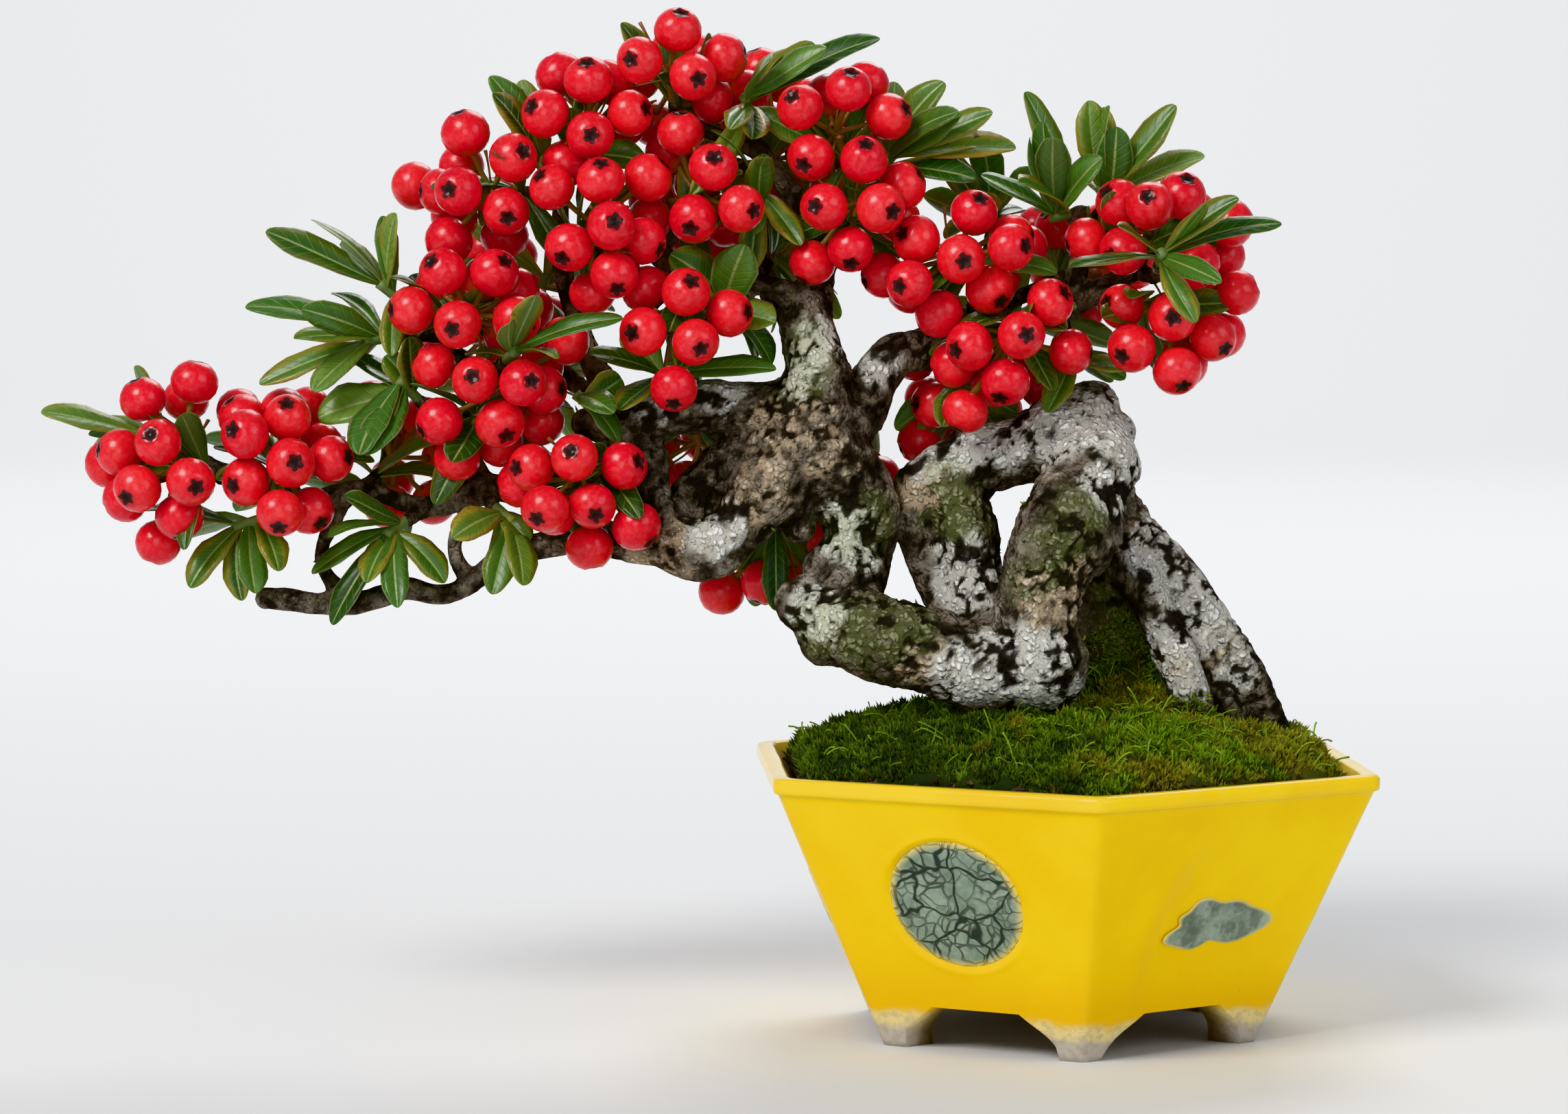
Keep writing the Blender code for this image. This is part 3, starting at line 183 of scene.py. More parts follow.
def lattice_random(cell, factors=(1274126177,)):
    """A column from 0 to 1 for each factor: the whole numbers of a cell hashed together."""
    mixed = (cell[:, 0] * 73856093) ^ (cell[:, 1] * 19349663) ^ (cell[:, 2] * 83492791)
    columns = []
    for factor in factors:
        mixed = (mixed ^ (mixed >> 13)) * factor
        columns.append(((mixed ^ (mixed >> 16)) & 65535) / 65535.0)
    return np.column_stack(columns)


def lattice_noise(places, size, seed):
    """Smooth noise from -1 to 1: a random value per lattice corner, blended with 3t^2 - 2t^3 each way."""
    spread = np.asarray(places, float) / size + 31.7 * seed + 0.37
    cell = np.floor(spread).astype(np.int64)
    t = spread - cell
    t = t * t * (3 - 2 * t)
    total = np.zeros(len(spread))
    for corner in np.ndindex(2, 2, 2):
        value = 2 * lattice_random(cell + np.array(corner))[:, 0] - 1
        total += value * np.prod(np.where(corner, t, 1 - t), axis=1)
    return total


def layers(places, *parts):
    """Sum of lattice noises, each given by its share, size and seed."""
    return sum(share * lattice_noise(places, size, seed) for share, size, seed in parts)


def smooth_step(low, high, value):
    """0 below low, 1 above high, 3t^2 - 2t^3 between."""
    t = np.clip((value - low) / (high - low), 0, 1)
    return t * t * (3 - 2 * t)


def join_points(mesh, reach, outwards=False):
    """Join a mesh's points that lie within reach, and turn its faces outwards where asked."""
    bm = bmesh.new()
    bm.from_mesh(mesh)
    bmesh.ops.remove_doubles(bm, verts=bm.verts, dist=reach)
    if outwards:
        bmesh.ops.recalc_face_normals(bm, faces=bm.faces)
    bm.to_mesh(mesh)
    bm.free()


def make_piece(name, places, faces, finish, replaced=(), masks=None, weld=0.0, smooth=True):
    """A finished piece from millimetres about the pot's axis, with masks kept as point attributes."""
    mesh = bpy.data.meshes.new(name)
    mesh.from_pydata(np.asarray(places, float).reshape(-1, 3) * MM + POT_AXIS, [], np.asarray(faces))
    for mask_name, values in (masks or {}).items():
        values = np.asarray(values, np.float32)
        kind, field = ("FLOAT_VECTOR", "vector") if values.ndim == 2 else ("FLOAT", "value")
        mesh.attributes.new(mask_name, kind, "POINT").data.foreach_set(field, values.ravel())
    if weld:
        join_points(mesh, weld * MM)
    if smooth:
        mesh.shade_smooth()
    mesh.materials.append(finish)
    piece = new_object(name, mesh)
    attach(piece, "root")
    if replaced:
        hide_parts(*replaced)


class Nodes:
    """Adds shader nodes; sockets, numbers and colours go in by input name, or as i0, i1 by number."""

    def __init__(self, tree):
        self.tree = tree

    def fill(self, node, inputs):
        for key, value in inputs.items():
            name = int(key[1:]) if key[1:].isdigit() else key.replace("_", " ")
            if isinstance(value, bpy.types.NodeSocket):
                self.tree.links.new(value, node.inputs[name])
            else:
                node.inputs[name].default_value = value

    def finish(self, **inputs):
        """Put the last sockets into the material's shader."""
        self.fill(self.tree.nodes["Principled BSDF"], inputs)

    def add(self, kind, out=0, settings=None, **inputs):
        node = self.tree.nodes.new("ShaderNode" + kind)
        for key, value in (settings or {}).items():
            setattr(node, key, value)
        self.fill(node, inputs)
        return node.outputs[out]

    def math(self, operation, first, second=0.0, third=0.0):
        return self.add("Math", settings={"operation": operation}, i0=first, i1=second, i2=third)

    def times(self, first, second):
        return self.math("MULTIPLY", first, second)

    def blend(self, mask, first, second, share=None):
        """Colour that goes from first to second as the mask, taken by a share, goes from 0 to 1."""
        mask = mask if share is None else self.times(mask, share)
        first, second = ((*c, 1.0) if isinstance(c, tuple) else c for c in (first, second))
        return self.add("Mix", out=2, settings={"data_type": "RGBA"}, i0=mask, i6=first, i7=second)

    def paint(self, colour, *coats):
        """A colour under coats, each given by its mask, its colour and any share of the mask."""
        for mask, over, *share in coats:
            colour = self.blend(mask, colour, over, *share)
        return colour

    def level(self, mask, first, second):
        """Number that goes from first to second as the mask goes from 0 to 1."""
        return self.add("Mix", settings={"data_type": "FLOAT"}, i0=mask, i2=first, i3=second)

    def ramp(self, value, low, high, start=0.0, end=1.0):
        """Smooth step of a value from start to end between low and high."""
        return self.add("MapRange", settings={"interpolation_type": "SMOOTHSTEP"}, i0=value, i1=low,
                        i2=high, i3=start, i4=end)

    def mask(self, name, out="Fac"):
        return self.add("Attribute", out=out, settings={"attribute_name": name})

    def part(self, vector, axis):
        return self.add("SeparateXYZ", out=axis, Vector=vector)

    def noise(self, place, scale, detail=3.0, roughness=0.55, out=0):
        return self.add("TexNoise", out=out, Vector=place, Scale=scale, Detail=detail, Roughness=roughness)

    def cells(self, place, scale, out="Distance", feature="F1"):
        return self.add("TexVoronoi", out=out, settings={"feature": feature}, Vector=place, Scale=scale)

    def tint(self, place, scale):
        """A random number for each cell."""
        return self.add("SeparateColor", out="Red", Color=self.cells(place, scale, "Color"))

    def swirl(self, place, scale, reach):
        """A place pushed about by coloured noise."""
        return self.add("VectorMath", settings={"operation": "MULTIPLY_ADD"},
                        i0=self.noise(place, scale, 2.0, out=1), i1=(reach,) * 3, i2=place)

    def bump(self, height, distance, strength=1.0, **under):
        return self.add("Bump", Height=height, Distance=distance, Strength=strength, **under)


# The mottle that all these surfaces share: broad cloudy patches, fine specks, and both mixed
mottle = bpy.data.node_groups.new("mottle", "ShaderNodeTree")
for way, sockets in (("INPUT", ("Place", "Patch Scale", "Speck Scale", "Speck Share")),
                     ("OUTPUT", ("Patches", "Specks", "Mixed"))):
    for socket in sockets:
        kind = "NodeSocketVector" if socket == "Place" else "NodeSocketFloat"
        mottle.interface.new_socket(socket, in_out=way, socket_type=kind)
n = Nodes(mottle)
given = mottle.nodes.new("NodeGroupInput").outputs
patches = n.ramp(n.noise(given["Place"], given["Patch Scale"], 4.0), 0.35, 0.65)
specks = n.ramp(n.noise(given["Place"], given["Speck Scale"], 3.0, 0.6), 0.42, 0.66)
n.fill(mottle.nodes.new("NodeGroupOutput"), {"Patches": patches, "Specks": specks,
                                             "Mixed": n.level(given["Speck Share"], patches, specks)})


def mottled_material(name, patch_scale, speck_scale, speck_share, **plain):
    """A new material, its Nodes, its Object coordinates and the outputs of a mottle over it."""
    made = new_material(name, **plain)
    n = Nodes(made.node_tree)
    place = n.add("TexCoord", out="Object")
    node = n.tree.nodes.new("ShaderNodeGroup")
    node.node_tree = mottle
    n.fill(node, {"Place": place, "Patch Scale": patch_scale, "Speck Scale": speck_scale,
                  "Speck Share": speck_share})
    return made, n, place, node.outputs


def outer_radius(z):
    """Corner radius of the pot's plain wall at a height."""
    slope = (RIM_CORNER_RADIUS - LIP_PROUD - FOOT_CORNER_RADIUS) / (POT_HEIGHT - LIP_HEIGHT)
    return FOOT_CORNER_RADIUS + slope * z


def inner_radius(z):
    """Corner radius of the pot's inside at a height."""
    low = outer_radius(FLOOR_TOP) - WALL_AT_FLOOR
    high = RIM_CORNER_RADIUS - WALL_AT_RIM
    return low + (high - low) * (z - FLOOR_TOP) / (POT_HEIGHT - FLOOR_TOP)


def six_sided(angle, corner_radius, sharpness):
    """Soft hexagon: apothem over the p-norm of its three wall directions, a corner at angle 0."""
    walls = angle[..., None] - np.radians([30.0, 90.0, 150.0])
    norm = (np.abs(np.cos(walls)) ** sharpness).sum(axis=-1) ** (1 / sharpness)
    return corner_radius * APOTHEM / norm


def arch_height(along_wall, half_side):
    """Height of the foot ring's cut edge away from a side's middle: flat, an ogee, then the ground."""
    wide = FOOT_CORNER_RADIUS / 2 - FOOT_TIP_HALF
    narrow = half_side - FOOT_WING
    t = np.linspace(0, 1, 60)
    sweep = 0.5 - 0.5 * np.cos(np.pi * t)
    across = wide + (narrow - wide) * (0.55 * sweep + 0.45 * t ** 2)
    high = FOOT_HEIGHT * t ** 0.8
    return np.interp(np.abs(along_wall), across[::-1], high[::-1])


def stops(*marks):
    """Even steps between marks, given as mark, number of stops, mark and so on; the last mark is left out."""
    runs = zip(marks[:-2:2], marks[1::2], marks[2::2])
    return np.concatenate([np.linspace(low, high, count)[:-1] for low, count, high in runs])


# columns round the pot, close together at the corners and over the round panels
side_run = (stops(0, 10, 5, 26, 55, 10, 60), stops(0, 10, 5, 12, 17, 58, 43, 12, 55, 10, 60))
turns = np.radians(np.concatenate([side_run[side % 2] + 60 * side for side in range(6)]))
# rows up the outside, over the lip, down the inside, under the floor and back: kind, and radius and
# height or the share of the way from the cut edge
lip_base = POT_HEIGHT - LIP_HEIGHT
profile = [("foot", share) for share in stops(0, 9, 1)]
for z in (*stops(FOOT_HEIGHT + 1.2, 5, 10.5, 56, 34.5, 6, lip_base - 0.25), lip_base - 0.25):
    profile.append(("wall", (outer_radius(z), z)))
for offset, rise in ((0.02, 0.02), (0.35, 0.16), (0.78, 0.3), (0.98, 0.6), (1.0, 1.0), (1.0, 1.7),
                     (0.9, 2.1), (0.6, 2.38), (0.15, LIP_HEIGHT)):
    profile.append(("lip", (outer_radius(lip_base) + LIP_PROUD * offset, lip_base + rise)))
for inset, drop in ((0.7, 0.0), (0.35, 0.08), (0.1, 0.35), (0.0, 0.8)):
    profile.append(("inside", (inner_radius(POT_HEIGHT) + inset, POT_HEIGHT - drop)))
profile += [("inside", (inner_radius(z), z)) for z in np.linspace(POT_HEIGHT - 2.5, FLOOR_TOP, 12)]
for row in ((18.0, FLOOR_TOP), (8.0, FLOOR_TOP), (5.1, FLOOR_TOP), (DRAIN_HOLE_RADIUS, FLOOR_TOP - 0.4),
            (DRAIN_HOLE_RADIUS, 8.5), (DRAIN_HOLE_RADIUS, UNDERSIDE_HEIGHT + 0.3), (5.0, UNDERSIDE_HEIGHT),
            (10.0, UNDERSIDE_HEIGHT), (18.0, UNDERSIDE_HEIGHT)):
    profile.append(("floor", row))
profile += [("ring", share) for share in (1.0, 0.75, 0.5, 0.25, 0.0)]

side_angle = turns - (np.floor(turns / np.radians(60)) + 0.5) * np.radians(60)
guess = outer_radius(FOOT_HEIGHT)
foot_edge = arch_height(np.tan(side_angle) * guess * APOTHEM, guess / 2)
way = turns + np.radians(POT_TURN_DEG)
pot_rows = []
for kind, value in profile:
    if kind == "foot":
        z = foot_edge + (FOOT_HEIGHT + 0.6 - foot_edge) * value
        radius = six_sided(turns, 1.0, SHARPNESS[kind]) * outer_radius(z)
    elif kind == "ring":
        z = foot_edge + (UNDERSIDE_HEIGHT - foot_edge) * value
        radius = six_sided(turns, 1.0, SHARPNESS[kind]) * (outer_radius(z) - FOOT_RING_WIDTH)
    else:
        z = np.full(len(turns), value[1])
        squareness = np.clip((value[0] - 6) / 12, 0, 1) if kind == "floor" else 1
        radius = value[0] * (1 - squareness) + six_sided(turns, value[0], SHARPNESS[kind]) * squareness
    pot_rows.append(np.column_stack([radius * np.sin(way), -radius * np.cos(way), z]))


def panel_place(number, height=PANEL_CENTRE_HEIGHT, turn=0.0):
    """Middle of a wall's panel, and the wall's outward, sideways and upward directions."""
    way = np.radians(POT_TURN_DEG - 30 + 120 * number + turn)
    radius = outer_radius(height) * APOTHEM
    lean = np.arctan2((outer_radius(10) - outer_radius(0)) * APOTHEM, 10)
    out = np.array([np.sin(way) * np.cos(lean), -np.cos(way) * np.cos(lean), -np.sin(lean)])
    side = np.array([np.cos(way), np.sin(way), 0.0])
    return np.array([np.sin(way) * radius, -np.cos(way) * radius, height]), out, side, np.cross(out, side)


pot_points = np.array(pot_rows).reshape(-1, 3)
pot_kinds = np.repeat([kind for kind, value in profile], len(turns))
ripple = layers(pot_points, (0.16, 17.0, 1), (0.06, 6.0, 2))
outward = pot_points * np.array([1, 1, 0])
outward /= np.linalg.norm(outward, axis=1)[:, None] + 1e-9
pot_points = pot_points + outward * (ripple * np.isin(pot_kinds, ["wall", "lip", "inside"]))[:, None]
for number in range(3):
    middle, out, side, up = panel_place(number)
    away = np.hypot((pot_points - middle) @ side, (pot_points - middle) @ up)
    near = (pot_kinds == "wall") & ((pot_points @ out) > 0) & (away < 16)
    bed = smooth_step(PANEL_RADIUS + 0.35, PANEL_RADIUS - 0.25, away)
    rim = np.exp(-((away - PANEL_RADIUS - 0.75) / 0.5) ** 2)
    pot_points = pot_points + out * (near * (0.16 * rim - PANEL_DEPTH * bed))[:, None]
# a soft fold runs down the right front wall, from the middle of the wall to near the front corner
fold_share = np.clip((pot_points[:, 2] - FOLD_FOOT[1]) / (FOLD_TOP[1] - FOLD_FOOT[1]), -0.2, 1.2)
off_fold = pot_points[:, 0] - (FOLD_FOOT[0] + (FOLD_TOP[0] - FOLD_FOOT[0]) * fold_share ** 2)
fold = np.exp(-(off_fold / 1.6) ** 2) - 0.5 * np.exp(-((off_fold - 3.2) / 2.6) ** 2)
fold *= smooth_step(-0.1, 0.2, fold_share) * smooth_step(1.15, 0.8, fold_share) * (pot_points[:, 1] < -20)
pot_points = pot_points + outward * (FOLD_DEPTH * fold * (pot_kinds == "wall"))[:, None]
paleness = np.where(pot_kinds == "lip", 0.18, 0.0)
paleness[(pot_kinds == "inside") & (pot_points[:, 2] > POT_HEIGHT - 1.2)] = 0.9
at_corner = np.exp(-((np.abs(side_angle) - np.radians(30)) / np.radians(1.6)) ** 2)
outside = np.isin(pot_kinds, ["foot", "wall", "lip"])
paleness = np.maximum(paleness, 0.08 * np.tile(at_corner, len(profile)) * outside)
inside_share = smooth_step(POT_HEIGHT - 0.9, POT_HEIGHT - 2.4, pot_points[:, 2]) * (pot_kinds == "inside")
inside_share[np.isin(pot_kinds, ["floor", "ring"])] = 1.0

glaze, n, place, cloud = mottled_material("yellow_glaze", 42.0, 900.0, 0.3, Coat_Roughness=0.07, IOR=1.45,
                                          Specular_IOR_Level=0.15)
height = n.part(place, "Z")
pale = n.times(n.mask("paleness"), n.ramp(n.noise(place, 260.0, 2.0), 0.2, 0.7, 0.55, 1.0))
pinholes = n.times(n.ramp(n.cells(place, 330.0), 0.05, 0.02), n.ramp(n.noise(place, 60.0), 0.52, 0.62))
ragged = n.math("ADD", height, n.times(n.math("SUBTRACT", n.noise(place, 180.0, 3.0), 0.5), 0.0035))
bare = n.ramp(ragged, 0.0042, 0.0022)
stain = n.ramp(n.noise(place, 120.0, 5.0, 0.65), 0.4, 0.62)
inside = n.mask("inside")
foot_colour = n.paint((0.80, 0.66, 0.30), (bare, BARE_CLAY), (cloud["Specks"], (0.30, 0.27, 0.22), 0.35))
inner_colour = n.paint(STAINED_CLAY, (stain, (0.30, 0.20, 0.10)),
                       (n.ramp(height, 0.0385, 0.0355, 0.0, 0.45), (0.20, 0.14, 0.07)))
# deep glaze in random patches, and the walls painted darker towards the foot: painted shade low on the pot
colour = n.paint(GLAZE_YELLOW, (cloud["Patches"], GLAZE_DEEP_AND_SHADE, 0.45),
                 (n.ramp(height, 0.0145, 0.0062, 0.0, 0.8), GLAZE_DEEP_AND_SHADE), (pale, GLAZE_PALE),
                 (pinholes, (0.25, 0.13, 0.02), 0.5), (n.ramp(ragged, 0.0066, 0.0046), foot_colour),
                 (inside, inner_colour))
dull = n.math("MAXIMUM", inside, bare)
orange_peel = n.bump(n.noise(place, 480.0, 2.0), 0.00006)
n.finish(Base_Color=colour,
         Roughness=n.level(dull, n.math("ADD", 0.12, n.times(cloud["Mixed"], 0.10)), 0.75),
         Normal=n.bump(n.noise(place, 1500.0, 3.0), 0.0001, n.times(dull, 0.9), Normal=orange_peel),
         Coat_Weight=n.times(n.math("SUBTRACT", 1.0, dull), 0.25))
make_piece("pot_body", pot_points, grid_faces(len(profile), len(turns), True, True), glaze, ("pot",),
           {"paleness": paleness, "inside": inside_share})

# Panels.  A round jade-green medallion lies in a shallow bed on every second wall, crackled under
# its glaze, and a small cloud-shaped patch of the same green sits low on the walls between.
JADE = (0.165, 0.235, 0.175)
JADE_PALE = (0.33, 0.42, 0.33)
JADE_LINE = (0.020, 0.036, 0.028)
CLOUD_CENTRE_HEIGHT = 19.4
CLOUD_LENGTH = 10.6
jade, n, place, cloud = mottled_material("jade_glaze", 190.0, 1100.0, 0.35, Coat_Weight=0.35,
                                         Coat_Roughness=0.15, IOR=1.5)
drift = n.swirl(place, 160.0, 0.0045)
cracked = n.mask("cracked")
lines = n.times(n.ramp(n.cells(drift, 430.0, feature="DISTANCE_TO_EDGE"), 0.075, 0.02), cracked)
wide_lines = n.times(n.ramp(n.cells(drift, 170.0, feature="DISTANCE_TO_EDGE"), 0.045, 0.012), cracked)
smudge = n.times(n.math("SUBTRACT", 1.0, cracked), n.ramp(n.noise(place, 330.0, 5.0, 0.65), 0.42, 0.60))
colour = n.paint(JADE, (cloud["Mixed"], JADE_PALE), (smudge, (0.075, 0.095, 0.065), 0.75),
                 (lines, JADE_LINE, n.ramp(n.noise(place, 150.0), 0.35, 0.6, 0.15, 0.8)),
                 (wide_lines, JADE_LINE), (n.mask("edge"), GLAZE_PALE, 0.85))
n.finish(Base_Color=colour,
         Normal=n.bump(n.math("SUBTRACT", 1.0, n.math("MAXIMUM", lines, wide_lines)), 0.00022),
         Roughness=n.ramp(cloud["Specks"], 0, 1, 0.28, 0.5))


def inlay(name, outline, thickness, sunk, cracked, *wall):
    """A low pad with a rounded edge: outline scaled by 1, .97, .9 .. 0, rising as a quarter ellipse."""
    middle, out, side, up = panel_place(*wall)
    share = np.array([0.0, 0.97, 1.0, 1.0, 0.985, 0.95, 0.88, 0.75, 0.5, 0.25, 0.0])
    lift = np.array([-0.6, -0.6, -0.5, 0.35, 0.75, 0.95, 1.0, 1.0, 1.0, 1.0, 1.0]) * thickness - sunk
    flat = outline[None] * share[:, None, None]
    grid = middle + flat[..., :1] * side + flat[..., 1:] * up + lift[:, None, None] * out
    edge = smooth_step(0.9, 1.0, share)
    edge[0] = 1.0
    edge = np.repeat(edge, len(outline))
    make_piece(name, grid, grid_faces(len(grid), len(outline), False, True), jade,
               masks={"edge": edge, "cracked": np.full(len(edge), cracked)}, weld=1e-4)


a = np.linspace(0, 2 * np.pi, 96, endpoint=False)
round_outline = (PANEL_RADIUS - 0.15) * np.column_stack([np.cos(a), np.sin(a)])
cloud_radius = CLOUD_LENGTH * (0.72 + 0.16 * np.cos(a) + 0.13 * np.cos(3 * a + 0.6)
                               + 0.05 * np.cos(7 * a) + 0.10 * np.cos(2 * a - 0.4))
cloud_outline = np.column_stack([cloud_radius * np.cos(a), 0.56 * cloud_radius * np.sin(a)])
for number in range(3):
    inlay("medallion_%d" % number, round_outline, 0.30, PANEL_DEPTH, 1.0, number)
    inlay("cloud_patch_%d" % number, cloud_outline, 0.22, 0.04, 0.12, number, CLOUD_CENTRE_HEIGHT, 60.0)

# Soil and moss.  The bowl is filled with dark gritty soil, and living moss lies over it in cushions,
# heaped up steeply against the foot of the trunk.  It was pressed on in pieces, so bright, dark and
# brownish ones lie side by side. The heap under the trunk, the carpet and the foot of each frond are
# painted darker for shade, and the frond tips are lighter, both young growth and painted highlight.
# Loose grit shows along the wall and round the wood.
WALL_GAP = 0.45
MOSS_EDGE_HEIGHT = 39.0
MOSS_DOME = 8.5
MOSS_REACH = 44.0
MOSS_HEAP = 10.5
MOSS_HEAP_PLACE = (11.0, 7.0)
MOSS_HEAP_SPREAD = 5.5
MOSS_THICKNESS = 2.6
MOSS_FRONDS = 16000
MOSS_FROND_LENGTH = 1.55
LEAFLETS = 3
LEAFLET_BELLY = 0.42
LEAFLET_WIDTH = 0.23
LEAFLET_DEPTH = 0.2
MOSS_STRANDS = 420
STRAND_LENGTHS = (1.8, 5.2)
STRAND_RADII = (0.09, 0.15)
GRIT_GRAINS = 900
GRIT_RADII = (0.3, 0.85)
GRIT_SCALE = 900.0
MOSS_FRESH = (0.17, 0.30, 0.018)
MOSS_DARK = (0.020, 0.040, 0.008)
MOSS_BROWN = (0.32, 0.225, 0.040)
# MOSS_SHADE is a darker copy of the dark moss, used for random dark patches and for painted shade in the
# gaps; the tip colour is a lighter copy of the fresh moss, young growth and painted highlight
MOSS_SHADE = tuple(0.35 * c for c in MOSS_DARK)
MOSS_TIP_YOUNG_AND_LIT = tuple(1.75 * c + 0.03 for c in MOSS_FRESH)
SPIKE = np.array([[0, 2, 1], [0, 3, 2], [0, 1, 3], [4, 1, 2], [4, 2, 3], [4, 3, 1]])
CHIP = np.array([[0, 2, 4], [2, 1, 4], [1, 3, 4], [3, 0, 4], [2, 0, 5], [1, 2, 5], [3, 1, 5], [0, 3, 5]])
CHIP_CORNERS = np.array([[1, 0, 0], [-1, 0, 0], [0, 1, 0], [0, -1, 0], [0, 0, 1], [0, 0, -1]], float)


def heap(x, y):
    """1 at the middle of the heap against the trunk's foot, falling off as exp(-d^2 / 2) in spreads."""
    away = np.hypot(x - MOSS_HEAP_PLACE[0], y - MOSS_HEAP_PLACE[1]) / MOSS_HEAP_SPREAD
    return np.exp(-0.5 * away ** 2)


def moss_height(x, y):
    """Middle height of the moss: a low dome with the steep heap on it."""
    dome = MOSS_DOME * (1 - np.clip(np.hypot(x, y) / MOSS_REACH, 0, 1) ** 2.2)
    return MOSS_EDGE_HEIGHT + dome + MOSS_HEAP * heap(x, y)


def moss_top(x, y):
    """Top of the cushions: the moss height, crossing waves of a few lengths, and small noise."""
    waves = np.sin(0.62 * x + 0.33 * y) * np.sin(0.7 * y - 0.22 * x + 1.0)
    waves += 0.5 * np.sin(1.15 * x - 0.8 * y + 2.0) * np.cos(1.2 * y + 0.5 * x)
    flat = np.column_stack([np.ravel(x), np.ravel(y), np.zeros(np.size(x))])
    small = layers(flat, (0.55, 5.2, 4), (0.6, 2.6, 5), (0.35, 1.2, 6))
    return moss_height(x, y) + waves + small.reshape(np.shape(x))


def moss_tone(places):
    """0 for fresh cushions up to 1 for dark ones, mostly at the left and on the heap under the trunk,
    where the dark is painted shade, and the same for brownish ones.
    """
    x, y = places[:, 0], places[:, 1]
    broad = layers(places, (0.8, 13.0, 11), (0.7, 4.2, 12), (0.5, 2.0, 15))
    # the heap at the trunk's foot adds to the dark: painted shade under the trunk
    dark = smooth_step(-0.7, 0.9, broad - x / 32.0 + 1.1 * heap(x, y))
    brown = smooth_step(0.1, 0.8, layers(places, (0.8, 8.0, 13), (0.6, 3.0, 14)) + x / 42.0)
    return dark, brown


def bowl_place(share, turn):
    """Point of a disc of radius one pressed into the bowl's outline where the moss lies."""
    way = turn + np.radians(POT_TURN_DEG)
    wide = inner_radius(MOSS_EDGE_HEIGHT - MOSS_THICKNESS) - WALL_GAP
    radius = share * six_sided(turn, 1.0, SHARPNESS["inside"]) * wide
    return radius * np.sin(way), -radius * np.cos(way)


def copies(faces, count, points_each):
    """Faces of several copies of one shape whose points follow each other."""
    return (np.arange(count)[:, None, None] * points_each + faces).reshape(-1, faces.shape[1])


def units(vectors):
    """Each vector divided by its length."""
    return vectors / np.linalg.norm(vectors, axis=-1, keepdims=True)


def frames_along(ahead):
    """Two directions square to each given one."""
    side = units(np.cross(ahead, np.array([0.31, 0.17, 0.93])))
    return side, np.cross(ahead, side)


def stalk_bundle(starts, middles, ends, thick, flare=0.5, rows=9, sides=6):
    """Round stalks along quadratic curves, thicker by flare towards both ends, each closed to a point."""
    t = np.linspace(0, 1, rows)[None, :, None]
    starts, middles, ends = (np.asarray(p, float)[:, None] for p in (starts, middles, ends))
    path = (1 - t) ** 2 * starts + 2 * t * (1 - t) * middles + t ** 2 * ends
    ahead = 2 * (1 - t) * (middles - starts) + 2 * t * (ends - middles)
    side, other = frames_along(ahead / (np.linalg.norm(ahead, axis=2)[..., None] + 1e-9))
    turn = np.linspace(0, 2 * np.pi, sides, endpoint=False)[:, None]
    radius = np.broadcast_to(np.asarray(thick, float), (len(path),))[:, None, None, None]
    radius = radius * (1 + flare * (2 * t[..., None] - 1) ** 4)
    rings = path[:, :, None] + radius * (side[:, :, None] * np.cos(turn) + other[:, :, None] * np.sin(turn))
    caps = np.repeat(path[:, [0, -1], None], sides, axis=2)
    points = np.concatenate([caps[:, :1], rings, caps[:, 1:]], axis=1)
    faces = copies(grid_faces(rows + 2, sides, False, True), len(path), (rows + 2) * sides)
    return points.reshape(-1, 3), faces


def spikes(foot, way, length, spin, belly_share, width, depth):
    """Pointed blades with a three-sided belly at a share of their length, turned by a direction each."""
    side = units(np.cross(way, spin))
    back = np.cross(way, side) * depth
    belly = foot + way * length * belly_share
    hind = belly - side * 0.5 * width
    return np.stack([foot + 0 * belly, belly + side * width, hind + back, hind - back, foot + way * length],
                    axis=-2)


moss_green, n, place, cloud = mottled_material(
    "moss_green", 260.0, 1700.0, 0.5, Roughness=0.9, Subsurface_Weight=0.08,
    Subsurface_Radius=(0.001, 0.002, 0.0005))
tip = n.mask("tip")
# carpet and frond bases darkened towards MOSS_SHADE, painted shade between fronds; tips lightened, young
# growth and painted highlight
colour = n.paint(MOSS_FRESH, (n.mask("dark"), MOSS_DARK), (n.mask("brown"), MOSS_BROWN, 0.8),
                 (cloud["Mixed"], MOSS_SHADE, 0.45), (n.ramp(tip, 0.12, 0.0, 0.0, 0.6), MOSS_SHADE),
                 (tip, MOSS_TIP_YOUNG_AND_LIT, 0.6))
n.finish(Base_Color=colour, Normal=n.bump(n.noise(place, 1700.0), 0.0004, 0.8))

gritty = new_material("gritty_soil", Roughness=0.95)
n = Nodes(gritty.node_tree)
place = n.add("TexCoord", out="Object")
colour = n.paint((0.030, 0.020, 0.013), (n.ramp(n.tint(place, GRIT_SCALE), 0.2, 0.9), (0.13, 0.095, 0.06)),
                 (n.ramp(n.noise(place, 140.0), 0.45, 0.7, 0.0, 0.7), (0.02, 0.026, 0.008)))
n.finish(Base_Color=colour, Normal=n.bump(n.cells(place, GRIT_SCALE), 0.0006))
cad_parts["soil"].data.materials.clear()
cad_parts["soil"].data.materials.append(gritty)

